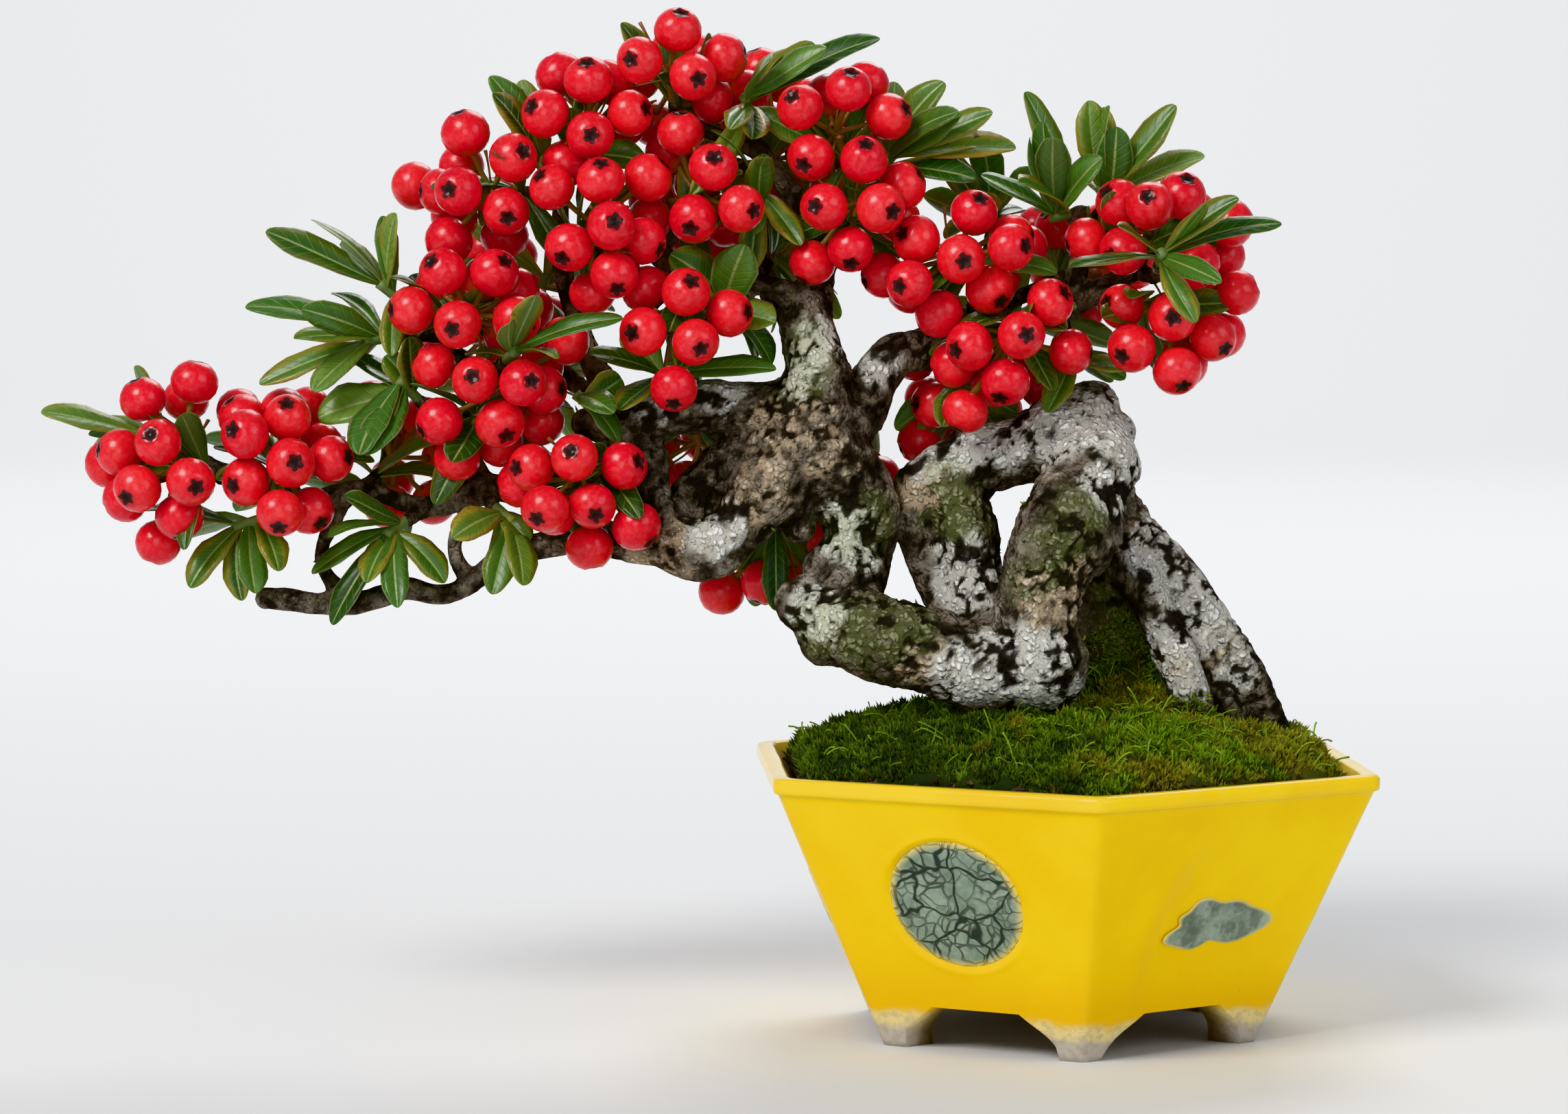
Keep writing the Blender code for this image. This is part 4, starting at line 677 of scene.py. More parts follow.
# the carpet: rings of a disc, top and underside, one closed surface
ring_share = np.concatenate([[0.0], np.linspace(0.02, 1.0, 78)])
ring_turns = np.linspace(0, 2 * np.pi, 230, endpoint=False)
x, y = bowl_place(ring_share[:, None], ring_turns[None])
rounding = 1.2 + 0.6 * np.sin(9 * ring_turns) * np.sin(4 * ring_turns + 1)
top = np.stack([x, y, moss_top(x, y) - smooth_step(0.93, 1.0, ring_share)[:, None] * rounding], axis=-1)
x, y = x[::-6], y[::-6]
carpet = np.concatenate([top, np.stack([x, y, moss_height(x, y) - MOSS_THICKNESS], axis=-1)])
dark, brown = moss_tone(carpet.reshape(-1, 3))
# the carpet is painted darker than the fronds on it: shade under them
make_piece("moss_carpet", carpet, grid_faces(len(carpet), len(ring_turns), False, True)[:, ::-1],
           moss_green, ("moss",),
           {"dark": 0.65 + 0.35 * dark, "brown": 0.5 * brown, "tip": np.zeros(len(dark))}, weld=2e-4)

# fronds: three pointed leaflets to each, leaning apart, planted over the carpet by seeded draws
draw = np.random.default_rng(21)
share = np.sqrt(draw.uniform(0, 0.985, MOSS_FRONDS))
x, y = bowl_place(share, draw.uniform(0, 2 * np.pi, MOSS_FRONDS))
foot = np.column_stack([x, y, moss_top(x, y) - 0.35 - 1.2 * smooth_step(0.93, 1.0, share)])
slope_x = moss_height(x + 0.5, y) - moss_height(x - 0.5, y)
slope_y = moss_height(x, y + 0.5) - moss_height(x, y - 0.5)
upward = units(np.column_stack([-slope_x, -slope_y, np.ones(MOSS_FRONDS)]))
lean = draw.normal(0, 0.42, (MOSS_FRONDS, LEAFLETS, 3)) * np.array([1, 1, 0.4])
clump = 1 + 0.35 * lattice_noise(foot, 2.2, 16)[:, None, None]
length = MOSS_FROND_LENGTH * clump * draw.uniform(0.6, 1.25, (MOSS_FRONDS, LEAFLETS, 1))
spin = draw.normal(0, 1, (MOSS_FRONDS, LEAFLETS, 3))
points = spikes(foot[:, None], units(upward[:, None] + lean), length, spin, LEAFLET_BELLY, LEAFLET_WIDTH,
                LEAFLET_DEPTH).reshape(-1, 3)
bright = np.repeat(0.25 + 0.75 * smooth_step(-0.3, 0.6, lattice_noise(foot, 2.4, 17)), LEAFLETS)
bright = draw.uniform(0.1, 1, len(bright)) * bright
dark, brown = (np.clip(tone + draw.normal(0, 0.12, MOSS_FRONDS), 0, 1) for tone in moss_tone(foot))
masks = {"dark": np.repeat(dark, LEAFLETS * 5), "brown": np.repeat(brown, LEAFLETS * 5),
         "tip": np.outer(bright, [0, 0.2, 0.2, 0.2, 1.0]).ravel()}
half = len(points) // 2
for name, run in (("moss_fronds_a", slice(0, half)), ("moss_fronds_b", slice(half, None))):
    make_piece(name, points[run], copies(SPIKE, half // 5, 5), moss_green,
               masks={mask: values[run] for mask, values in masks.items()}, smooth=False)

# strands: long bent stems that stand out of the cushions, some of them dry
share = np.sqrt(draw.uniform(0, 0.9, MOSS_STRANDS))
x, y = bowl_place(share, draw.normal(0.5, 1.3, MOSS_STRANDS))
foot = np.column_stack([x, y, moss_top(x, y) - 0.5])
way = units(draw.normal(0, 1, (MOSS_STRANDS, 3)) * np.array([1, 1, 0.3]) + np.array([0, 0, 0.7]))
tip = foot + way * draw.uniform(*STRAND_LENGTHS, (MOSS_STRANDS, 1))
tip[:, 2] = np.maximum(tip[:, 2], moss_height(tip[:, 0], tip[:, 1]) + 1.0)
middle = (foot + tip) / 2 + draw.normal(0, 0.5, (MOSS_STRANDS, 3)) + np.array([0, 0, 0.9])
points, faces = stalk_bundle(foot, middle, tip, draw.uniform(*STRAND_RADII, MOSS_STRANDS), 0.2, 6, 4)
masks = {"dark": draw.uniform(0, 0.35, MOSS_STRANDS), "brown": draw.uniform(0, 1, MOSS_STRANDS) ** 2,
         "tip": draw.uniform(0, 0.9, MOSS_STRANDS)}
masks = {mask: np.repeat(values, len(points) // MOSS_STRANDS) for mask, values in masks.items()}
make_piece("moss_strands", points, faces, moss_green, masks=masks, weld=2e-4)

# grit: chipped grains with eight faces along the wall and in the hollows
share = 1 - 0.085 * draw.uniform(0, 1, GRIT_GRAINS) ** 1.3
x, y = bowl_place(share, draw.uniform(0, 2 * np.pi, GRIT_GRAINS))
z = moss_height(x, y) - 1.3 + draw.uniform(-0.4, 0.5, GRIT_GRAINS)
size = draw.uniform(*GRIT_RADII, (GRIT_GRAINS, 1, 1)) * draw.uniform(0.6, 1.2, (GRIT_GRAINS, 6, 1))
make_piece("soil_grit", np.column_stack([x, y, z])[:, None] + CHIP_CORNERS * size,
           copies(CHIP, GRIT_GRAINS, 6), gritty, smooth=False)

# Where things grow.  The tree is one old trunk that folds over itself, with limbs given by points and
# thicknesses.  Spurs on its twigs carry bunches of berries and sprays of leaves: each is given by the
# limb that bears it, the hub where it fans out, and where its berries or leaf tips reach.
SEED = 7
BARK_RELIEF = 0.13
RING_STEP = 4.5
TWIG_RADIUS = 1.25
SHOOT_RADIUS = 0.95
SHOOT_LENGTH = 4.5
BERRY_RADIUS = 3.65
STALK_RADIUS = 0.5
STALK_CLEARANCE = 0.35
OWN_BERRY_ROOM = 0.15
OTHER_BERRY_ROOM = 0.6
DOME_RADIUS = 9.0
GOLDEN_TURN = 2.39996
LEAF_FOOT_ROOM = 1.3
BLADE_ROOM = 0.8
CLEARANCE = 0.45
LEAST_CLEARANCE = 0.1
SEAT_REACH = 3.0
LIMB_BALL_STEP = 1.2
SETTLE_ROUNDS = 400
SETTLE_APART = 0.4
SETTLE_OFF_WOOD = 0.6
SETTLE_WAY = np.array([0.4, 1.0, 0.4])
TWIG_TRIES = 40
STALK_TRIES = 6
# Limbs of the one trunk: x, y, z and radius along each
LIMBS = {
    "leg_back": [(10, 8, 24, 6.5), (10, 8, 40, 7), (10, 8, 51, 6), (9, 8, 61, 5.3), (8, 6, 70, 5.1),
        (5.8, 3, 79, 5.5), (4.8, 1, 86, 5.6), (4.6, 0.5, 91, 4.2)],
    "leg_front": [(4.5, 0, 87, 5.6), (3.8, -3.5, 80.5, 6.7), (1, -7, 74.5, 6.9), (-2, -9, 69, 6.4),
        (-3.6, -10, 62.5, 6.1), (-5, -10.5, 56, 6.3)],
    "log": [(-3.5, -10.5, 54.5, 6.3), (-11, -10.5, 54, 6.1), (-19, -10.5, 56, 5.6),
        (-26.5, -10, 58.3, 5.5), (-33, -8.5, 61, 5.5), (-37.5, -7.5, 63, 4.2)],
    "stem_left": [(-34, -8, 58, 3.8), (-32.8, -6.5, 62, 5.6), (-31.5, -3, 66.5, 5.9), (-29.8, 0, 71, 5.7),
        (-30, -1, 77, 5.9), (-33.5, -3, 83, 6.2), (-37, -4, 88, 5.7)],
    "beam": [(7, 0.5, 87.5, 4.3), (4, 0.5, 88, 5.4), (-1, 1, 86, 5.8), (-8, 2, 84, 5.2),
        (-15, 3, 82, 4.7), (-20.5, 3, 79.5, 4.1)],
    "strand_left": [(-20, 3, 80, 3.7), (-21.5, 3, 75, 3.4), (-19, 1, 68.5, 3.2), (-16.5, -2, 62.5, 3.3),
        (-14.5, -6, 57, 3.3)],
    "strand_right": [(-17, 2.5, 81.5, 3.7), (-14, 1, 76, 3.9), (-12.8, -1, 69.5, 4.2),
        (-12, -4, 62.5, 4.0), (-12, -8, 57, 3.7)],
    "root_long": [(8, 4, 75, 4.2), (12, 3, 71.5, 3.6), (17.5, 3, 66, 3.1), (22.5, 2, 59.5, 2.9),
        (28, 2, 51, 2.8), (32, 2, 42, 2.5), (33.5, 2, 33, 1.9)],
    "root_mid": [(9, 4, 71, 3.9), (12.5, 0, 64, 3.4), (16, -3, 57, 3.2), (19, -5, 48, 2.9),
        (20.5, -6, 34, 2.2)],
    "root_between": [(13, 3, 67, 3.0), (17.5, 2, 60, 3.1), (21, 1, 54, 3.2), (24, 0, 47, 3.1),
        (26, -1, 39, 2.4)],
    "root_back": [(9, 8, 68, 4.6), (15, 14, 58, 4), (21, 18, 48, 3.2), (24, 20, 34, 2.4)],
    "root_left": [(9, 9, 60, 4.7), (3, 11, 49, 4.1), (-3, 13, 40, 3.1), (-5, 14, 31, 2.3)],
    "head": [(-36, -4, 85.5, 5.6), (-36, -4, 92, 5.3), (-35.5, -3, 97, 5.0), (-37, -2, 102, 4.2),
        (-36.5, -1, 106.5, 3.3), (-35.5, 0, 111, 2.6), (-36.5, 0, 116, 2.2), (-38.5, 0, 121, 1.7),
        (-42, 1, 126, 1.4), (-46, 1, 131, 1.2)],
    "limb_right": [(-34, -3, 86.5, 4.8), (-29.5, -1, 91, 4.1), (-27, 0, 95.5, 3.7), (-24, 1, 99, 3.2),
        (-18, 2, 99.5, 2.8), (-12, 2, 100.5, 2.6), (-6, 2, 103, 2.3), (0, 2, 105.5, 2.0),
        (5.5, 3, 108, 1.7), (11, 3, 111, 1.4)],
    "limb_left": [(-37, -4, 86, 5.6), (-43, -5, 79.5, 5.0), (-47.5, -6, 73.5, 4.4), (-53, -6, 70.5, 4.1),
        (-58, -6, 73, 3.8), (-60, -6, 78, 3.5), (-61, -5, 83.5, 3.4), (-64, -5, 88, 3.4),
        (-69, -4, 89, 2.5)],
    "limb_upper": [(-37, -3, 91, 4.6), (-46.5, -4, 91.5, 3.6), (-54.5, -4, 91.3, 3.4),
        (-62.5, -5, 89.5, 3.2)],
    "limb_behind": [(-42, -3, 86, 4.6), (-47.5, -1.5, 82.5, 4.4), (-52, -1, 79, 4.3),
        (-56, -2.5, 75, 3.8)],
    "cascade": [(-54, -6, 71, 3.4), (-63, -5, 71.5, 2.6), (-68.5, -5, 73, 2.4), (-73, -5, 72, 2.1),
        (-78, -5, 70.5, 1.8), (-83, -4, 68, 1.7), (-87, -4, 65, 1.6), (-91, -4, 64, 1.5),
        (-95.5, -4, 65, 1.5), (-100, -4, 63.5, 1.5), (-105, -4, 62.5, 1.5), (-110, -4, 63, 1.5),
        (-116, -3, 63.5, 1.9)],
    "fork_left": [(-60, -6, 76, 3.0), (-67, -3, 79.5, 2.2), (-75, -1, 77.5, 1.9), (-84, 0, 79.5, 1.8),
        (-93, 1, 76.5, 1.6), (-102, 0, 79, 1.5), (-111, -2, 77, 1.4), (-119, 0, 80, 1.3)],
    "tie_left": [(-86, -3, 65.5, 1.5), (-88.5, -3, 71, 1.2), (-85.5, -1, 78.5, 1.3)],
    "tie_far": [(-103, -4, 62.5, 1.4), (-108, -3, 69, 1.2), (-105, -1, 78, 1.3)],
    "rise_left": [(-84, 0, 79, 1.7), (-87.5, 2, 86, 1.6), (-85.5, 3, 94, 1.5), (-91, 2, 102, 1.3)],
    "rise_top": [(-63, -5, 87, 2.4), (-67, -1, 95, 1.9), (-71, 1, 104, 1.7), (-73, 2, 113, 1.5),
        (-73, 3, 122, 1.3)],
    "rise_mid": [(-36.5, -1, 106, 2.2), (-44, -1, 109.5, 1.7), (-52, -1, 111, 1.5), (-59, 1, 113, 1.3)],
    "rise_crest": [(-44, 1, 129, 1.3), (-50, 3, 131, 1.2), (-56, 4, 133, 1.1)],
    "rise_centre": [(-35.5, 0, 110, 1.8), (-31.5, 2, 116, 1.5), (-29, 3, 122, 1.3)],
    "rise_right": [(-12, 2, 100.5, 1.8), (-12, 3, 107, 1.5), (-10, 4, 113, 1.3)],
    "rise_edge": [(2, 2.5, 106.5, 1.6), (3, 4, 112, 1.4), (4, 5, 117, 1.2)],
    "back_left": [(-60, -5, 81, 2.4), (-64, 3, 88, 1.9), (-72, 10, 95, 1.6), (-79, 14, 101, 1.3)],
    "back_mid": [(-36, -3, 97, 2.8), (-39, 5, 103, 2.1), (-43, 11, 109, 1.7), (-46, 15, 115, 1.3)],
    "back_right": [(-22, 1, 99.5, 2.2), (-16, 8, 103, 1.8), (-8, 13, 106, 1.5), (-1, 16, 109, 1.2)],
    "back_crest": [(-43, 11, 109, 1.5), (-44, 12, 118, 1.3), (-45, 11, 126, 1.1)],
    "heel": [(-37.5, -4, 85, 5.0), (-39.3, -4.5, 79, 4.3), (-38.3, -4.5, 74, 2.9)],
}

# Berry bunches: limb and point on it that bears the spur, the hub where the stalks part, and
# the berries as x and z seen from the front; a bunch at the back has a number of them instead
BUNCHES = {
    "berries_far_left_edge": ("fork_left", 7, (-129, -3, 83), [(-133.5, 92.5), (-126, 95), (-130, 86),
        (-125.5, 80.5), (-127.5, 76.5)]),
    "berries_far_left": ("fork_left", 6, (-114, -4, 83), [(-119, 90), (-112, 90), (-118.5, 81),
        (-111.5, 83.5), (-106, 84), (-109, 76.5)]),
    "berries_left_high": ("rise_left", 3, (-86, -6, 105), [(-89, 111), (-82, 110.5), (-79, 104.5),
        (-87, 103.5), (-94, 105.5)]),
    "berries_left_low": ("rise_left", 1, (-83, -6, 93), [(-91, 97.5), (-84.5, 95.5), (-90, 89.5),
        (-80.5, 88.5), (-75, 94), (-72, 101)]),
    "berries_left_under": ("fork_left", 1, (-70, -9, 82), [(-77, 84), (-70.5, 84.5), (-67.5, 78),
        (-63.5, 83)]),
    "berries_top_left_edge": ("rise_top", 4, (-83, -2, 123), [(-86.5, 131), (-87, 122.5), (-80, 120),
        (-89, 115.5), (-79, 127.5)]),
    "berries_top_left": ("rise_top", 3, (-68, -7, 118), [(-74, 123), (-67, 124.5), (-60, 124.5),
        (-71, 114.5), (-60.5, 115.5), (-68, 108)]),
    "berries_top_left_crest": ("rise_top", 4, (-69, -1, 132), [(-75, 133.5), (-68.5, 138.5), (-63, 134),
        (-67.5, 130.5)]),
    "berries_crest": ("rise_crest", 2, (-57, 0, 139), [(-61, 141), (-56, 145.5), (-53.5, 139),
        (-49, 142)]),
    "berries_crest_low": ("rise_mid", 3, (-53, -3, 123), [(-55.5, 131), (-50.5, 126), (-53.5, 118.5)]),
    "berries_pair": ("rise_mid", 2, (-56, -8, 104), [(-60.5, 102.5), (-53, 101)]),
    "berries_crest_right": ("rise_centre", 2, (-33, -2, 131), [(-38, 134.5), (-31, 137), (-25.5, 133.5),
        (-36.5, 127.5)]),
    "berries_crest_right_low": ("rise_centre", 1, (-30, -5, 121), [(-29, 127), (-34.5, 120), (-26.5, 120),
        (-31, 114.5)]),
    "berries_right_high": ("rise_right", 2, (-16, -3, 113), [(-26, 110.5), (-21, 115.5), (-15.5, 113),
        (-13, 119.5), (-7.5, 116)]),
    "berries_right_low": ("limb_right", 6, (-8, -6, 102), [(-18, 105), (-6.5, 102), (1, 99.5)]),
    "berries_far_right_high": ("limb_right", 9, (14, -1, 116), [(8, 121), (17, 122), (8.5, 114),
        (24.5, 118), (19, 112)]),
    "berries_far_right": ("limb_right", 8, (16, -1, 105), [(8.5, 106), (15.5, 104.5), (21.5, 101.5),
        (25.5, 108)]),
    "berries_under_right": ("limb_right", 4, (-11, 10, 92), [(-19, 92), (-15, 86.5), (-8, 90), (-2, 94)]),
    "berries_hollow": ("limb_upper", 2, (-53, 6, 86), [(-52.5, 86), (-55, 79.5)]),
    "berries_behind_trunk": ("back_mid", 0, (-30, 11, 86), [(-29.5, 83.5)]),
    "berries_behind_low": ("limb_left", 1, (-41, 8, 72), [(-38.5, 70.5), (-46, 74)]),
    "berries_left_back": ("fork_left", 5, (-98, 5, 84), [(-97.5, 87), (-101.5, 91.5)]),
    "berries_back_left": ("back_left", 3, (-84, 20, 104), 5),
    "berries_back_mid": ("back_mid", 3, (-50, 22, 117), 5),
    "berries_back_right": ("back_right", 3, (4, 21, 112), 5),
    "berries_back_crest": ("back_crest", 2, (-40, 16, 130), 4),
}

# Leaf sprays: limb and point that bears the shoot, the head of the shoot, leaf width and leaf tips
SPRAYS = {
    "leaves_far_left_tip": ("fork_left", 7, (-134, 1, 87), 4.4, [(-149, -1, 90.5), (-137, 8, 97),
        (-143, 9, 84)]),
    "leaves_far_left_low": ("fork_left", 6, (-120, -4, 74), 4.6, [(-138, -5, 76), (-128, -9, 67.5),
        (-117, -8, 64.5), (-131, 6, 71)]),
    "leaves_far_left_back": ("fork_left", 6, (-115, 7, 82), 5.0, [(-127, 14, 86), (-121, 19, 77),
        (-107, 20, 86), (-113, 15, 93), (-103, 13, 78)]),
    "leaves_left_top": ("rise_left", 3, (-99, -1, 109), 4.6, [(-115.5, -4, 117), (-96.5, -6, 119.5),
        (-106, 6, 115)]),
    "leaves_left_mid": ("rise_left", 3, (-101, -3, 101), 4.4, [(-118.5, -5, 106), (-116.5, -6, 95),
        (-111, -11, 101), (-109, 9, 104)]),
    "leaves_left_broad": ("rise_left", 1, (-96, -5, 95), 6.4, [(-104, -10, 84.5), (-97, -14, 85),
        (-108, -6, 90)]),
    "leaves_drop_left": ("fork_left", 4, (-98, -5, 73), 4.6, [(-106, -8, 60), (-89.5, -8, 66),
        (-96, -13, 63), (-110, -7, 70)]),
    "leaves_drop_mid": ("fork_left", 3, (-80, -6, 75), 5.2, [(-81.5, -9, 63.5), (-76, -14, 66),
        (-88, -12, 73)]),
    "leaves_slash": ("rise_left", 2, (-79, -14.5, 99.5), 4.4, [(-63.5, -18, 107)]),
    "leaves_crest_left": ("rise_top", 4, (-76, -1, 127), 5.4, [(-85.5, -3, 137.5), (-79, 6, 139)]),
    "leaves_heart": ("limb_upper", 2, (-58, -7, 96), 4.8, [(-41.5, -9, 97), (-64, -13, 91),
        (-70, -8, 99)]),
    "leaves_heart_high": ("rise_mid", 1, (-50, -4, 105), 6.0, [(-41.5, -9, 103.5), (-46, -8, 115),
        (-59, -8, 109)]),
    "leaves_mid": ("limb_left", 7, (-70, -9, 93), 5.0, [(-63, -12, 84.5)]),
    "leaves_dark": ("head", 8, (-44, -3, 121), 4.6, [(-43.5, -8, 128), (-47, -9, 113), (-38, -10, 115)]),
    "leaves_crest": ("head", 9, (-46, -1, 136), 5.0, [(-34, -5, 143), (-51, -2, 148), (-45, -10, 130),
        (-26.5, -1, 145), (-43.5, -6, 145)]),
    "leaves_crest_right": ("rise_centre", 2, (-25, 1, 128), 5.2, [(-10, -2, 134), (-6.5, 1, 129),
        (-17, -1, 138.5), (-14, -7, 124), (-24, 8, 139)]),
    "leaves_right_a": ("rise_right", 2, (-11, 3, 119), 4.6, [(-17, 0, 129), (-9, -2, 130), (-3, 9, 126),
        (-20, 7, 122)]),
    "leaves_right_b": ("rise_edge", 2, (-1, 1, 119), 5.4, [(-2.5, -2, 133), (5.5, -5, 127.5),
        (-9, 2, 135.5), (-6.5, -9, 124)]),
    "leaves_far_top": ("rise_edge", 2, (6, 3, 123), 5.6, [(4, 2, 136), (17, 0, 135), (21, 1, 128),
        (9, 12, 131)]),
    "leaves_far_right": ("limb_right", 9, (13.5, -14.5, 113.5), 4.2, [(24, -18, 121.5), (30.5, -15, 118),
        (18, -19, 104)]),
    "leaves_low_right": ("limb_right", 7, (2, -2, 98), 4.0, [(9.5, -5, 97), (-4, -9, 94), (8, 6, 95)]),
    "leaves_under_right": ("limb_right", 5, (-12, 7, 98), 5.0, [(-24, 10, 94), (-14, 18, 90),
        (-2, 12, 97)]),
    "leaves_back_left": ("back_left", 2, (-78, 17, 96), 5.2, [(-92, 21, 93), (-81, 29, 90), (-68, 26, 98),
        (-88, 24, 88), (-72, 20, 86)]),
    "leaves_back_left_high": ("back_left", 3, (-76, 13, 110), 5.0, [(-88, 16, 118), (-73, 21, 121),
        (-64, 19, 113), (-90, 10, 112)]),
    "leaves_back_mid": ("back_mid", 3, (-42, 19, 112), 5.4, [(-30, 26, 116), (-43, 32, 108),
        (-35, 18, 124), (-32, 25, 104), (-56, 24, 106)]),
    "leaves_back_right": ("back_right", 2, (-6, 18, 103), 5.2, [(0, 14, 117), (-18, 24, 106),
        (9, 25, 100), (-14, 20, 94), (-8, 31, 99)]),
    "leaves_back_crest": ("back_crest", 2, (-50, 13, 128), 5.0, [(-61, 17, 134), (-52, 22, 138),
        (-64, 16, 124), (-50, 26, 126)]),
}


class Thicket:
    """Balls that stand for everything placed so far, each with the node that owns it."""

    def __init__(self):
        self.centres = np.zeros((0, 3))
        self.radii = np.zeros(0)
        self.owners = np.zeros(0, dtype=object)

    def add(self, centres, radii, owner):
        self.centres = np.vstack([self.centres, centres])
        self.radii = np.concatenate([self.radii, np.broadcast_to(radii, len(centres))])
        self.owners = np.concatenate([self.owners, np.full(len(centres), owner, dtype=object)])

    def gap(self, centres, radius, owner, seat=None):
        """Least gap to what others own, leaving out the end of the own twig at its seat."""
        others = self.owners != owner
        if owner == "trunk":
            others &= ~np.char.startswith(self.owners.astype(str), "twig_")
        if seat is not None:
            near_seat = np.linalg.norm(self.centres - seat, axis=1) < SEAT_REACH
            others &= ~(near_seat & (self.owners == "twig_" + owner))
        apart = np.linalg.norm(centres[:, None] - self.centres[others], axis=2)
        return float((apart - self.radii[others] - radius).min())


def clearest(tries, enough=np.inf):
    """The try with the widest gap, which is its first value; none follow one that is wide enough."""
    best = None
    for tried in tries:
        if best is None or tried[0] > best[0]:
            best = tried
        if best[0] > enough:
            break
    return best


def smooth_path(points, step):
    """Points along a Catmull-Rom curve through the given ones, about a step apart."""
    points = np.asarray(points, float)
    ends = np.vstack([2 * points[0] - points[1], points, 2 * points[-1] - points[-2]])
    path = []
    for i in range(len(points) - 1):
        a, b, c, d = ends[i:i + 4]
        pieces = max(1, int(round(np.linalg.norm(c[:3] - b[:3]) / step)))
        for t in np.arange(pieces) / pieces:
            path.append(0.5 * (2 * b + (c - a) * t + (2 * a - 5 * b + 4 * c - d) * t ** 2
                               + (3 * b - a - 3 * c + d) * t ** 3))
    return np.array(path + [points[-1]])


def unit(vector):
    vector = np.asarray(vector, float)
    return vector / np.linalg.norm(vector)


def along(start, end, step=0.6):
    """Points on a straight run from start to end."""
    return np.linspace(start, end, max(2, int(np.linalg.norm(np.subtract(end, start)) / step) + 1))


def golden_ways(lift):
    """Directions a golden turn apart about the last axis, each with its lift along that axis."""
    turn = np.arange(len(lift)) * GOLDEN_TURN
    spread = np.sqrt(1 - lift ** 2)
    return np.column_stack([spread * np.cos(turn), spread * np.sin(turn), lift])


def settle_berries(limb_balls):
    """Place the berries of all bunches as a dome over each hub, then ease them apart."""
    places = []
    owners = []
    for name, (limb, index, hub, berries) in BUNCHES.items():
        if isinstance(berries, int):
            ways = golden_ways(0.15 + 0.85 * (np.arange(berries) + 0.5) / berries)
            places.append(hub + DOME_RADIUS * ways[:, [0, 2, 1]])
        else:
            x, z = np.array(berries, float).T
            reach = DOME_RADIUS ** 2 - (x - hub[0]) ** 2 - (z - hub[2]) ** 2
            side = 1.0 if hub[1] > 3.0 else -1.0
            places.append(np.column_stack([x, hub[1] + side * np.sqrt(np.maximum(reach, 4.0)), z]))
        owners += [name] * len(places[-1])
    places = np.vstack(places)
    owners = np.array(owners, dtype=object)
    wanted = 2 * BERRY_RADIUS + np.where(owners[:, None] == owners, OWN_BERRY_ROOM, OTHER_BERRY_ROOM)
    np.fill_diagonal(wanted, 0.0)
    rows = np.arange(len(places))
    for _ in range(SETTLE_ROUNDS):
        away = places[:, None] - places
        distance = np.linalg.norm(away, axis=2) + np.eye(len(places))
        short = np.clip(wanted - distance, 0, None)
        push = (away / distance[..., None] * short[..., None]).sum(axis=1) * SETTLE_APART
        away = places[:, None] - limb_balls[:, :3]
        distance = np.linalg.norm(away, axis=2)
        short = np.clip(BERRY_RADIUS + CLEARANCE + limb_balls[:, 3] - distance, 0, None)
        nearest = short.argmax(axis=1)
        push += (away / distance[..., None])[rows, nearest] * short[rows, nearest][:, None] * SETTLE_OFF_WOOD
        places += push * SETTLE_WAY
    return places, owners


def blade_points(foot, tip, width, normal, arch, rows, columns):
    """Grid of points on a leaf: an arched midrib and a blunt outline widest past the middle."""
    t = np.linspace(0, 1, rows)[:, None]
    s = np.linspace(-1, 1, columns)[None, :]
    run = np.subtract(tip, foot)
    length = np.linalg.norm(run)
    across = unit(np.cross(run / length, normal))
    up = np.cross(across, run / length)
    half = 0.5 * width * np.clip(np.sin(np.pi * t ** 1.25), 0, None) ** 0.75
    lift = arch * length * 4 * t * (1 - t) + 0.22 * half * np.abs(s)
    return (np.asarray(foot, float) + t[..., None] * run + (half * s)[..., None] * across
            + lift[..., None] * up)


def turned_about(vector, axis, degrees):
    return np.array(Matrix.Rotation(np.radians(degrees), 3, Vector(axis)) @ Vector(vector))


def twig_tries(name, start, hub, room):
    """Twigs from a limb to a hub, bent more and more, each ending in a shoot no longer than the room."""
    for swing in range(TWIG_TRIES):
        middle = (start + hub) / 2 + random.normal(0, 0.25 + 0.12 * swing, 3) * (swing > 0)
        ahead = unit(hub - middle)
        seat = hub - ahead * min(SHOOT_LENGTH, room)
        twig = np.vstack([along(start, middle), along(middle, seat)])
        gap = min(thicket.gap(twig, TWIG_RADIUS, "trunk"),
                  thicket.gap(along(seat, hub), SHOOT_RADIUS, name))
        yield gap, twig, {"start": start, "middle": middle, "seat": seat, "ahead": ahead, "hub": hub}


def stalk_tries(name, entry, berry):
    """Stalks to a berry that part from the shoot at its hub, or further and further below."""
    for step in range(STALK_TRIES):
        knee = entry["hub"] - entry["ahead"] * SHOOT_LENGTH * 0.12 * step
        near = berry - unit(berry - knee) * BERRY_RADIUS * 0.8
        yield thicket.gap(along(knee, near), STALK_RADIUS, name, entry["seat"]), knee


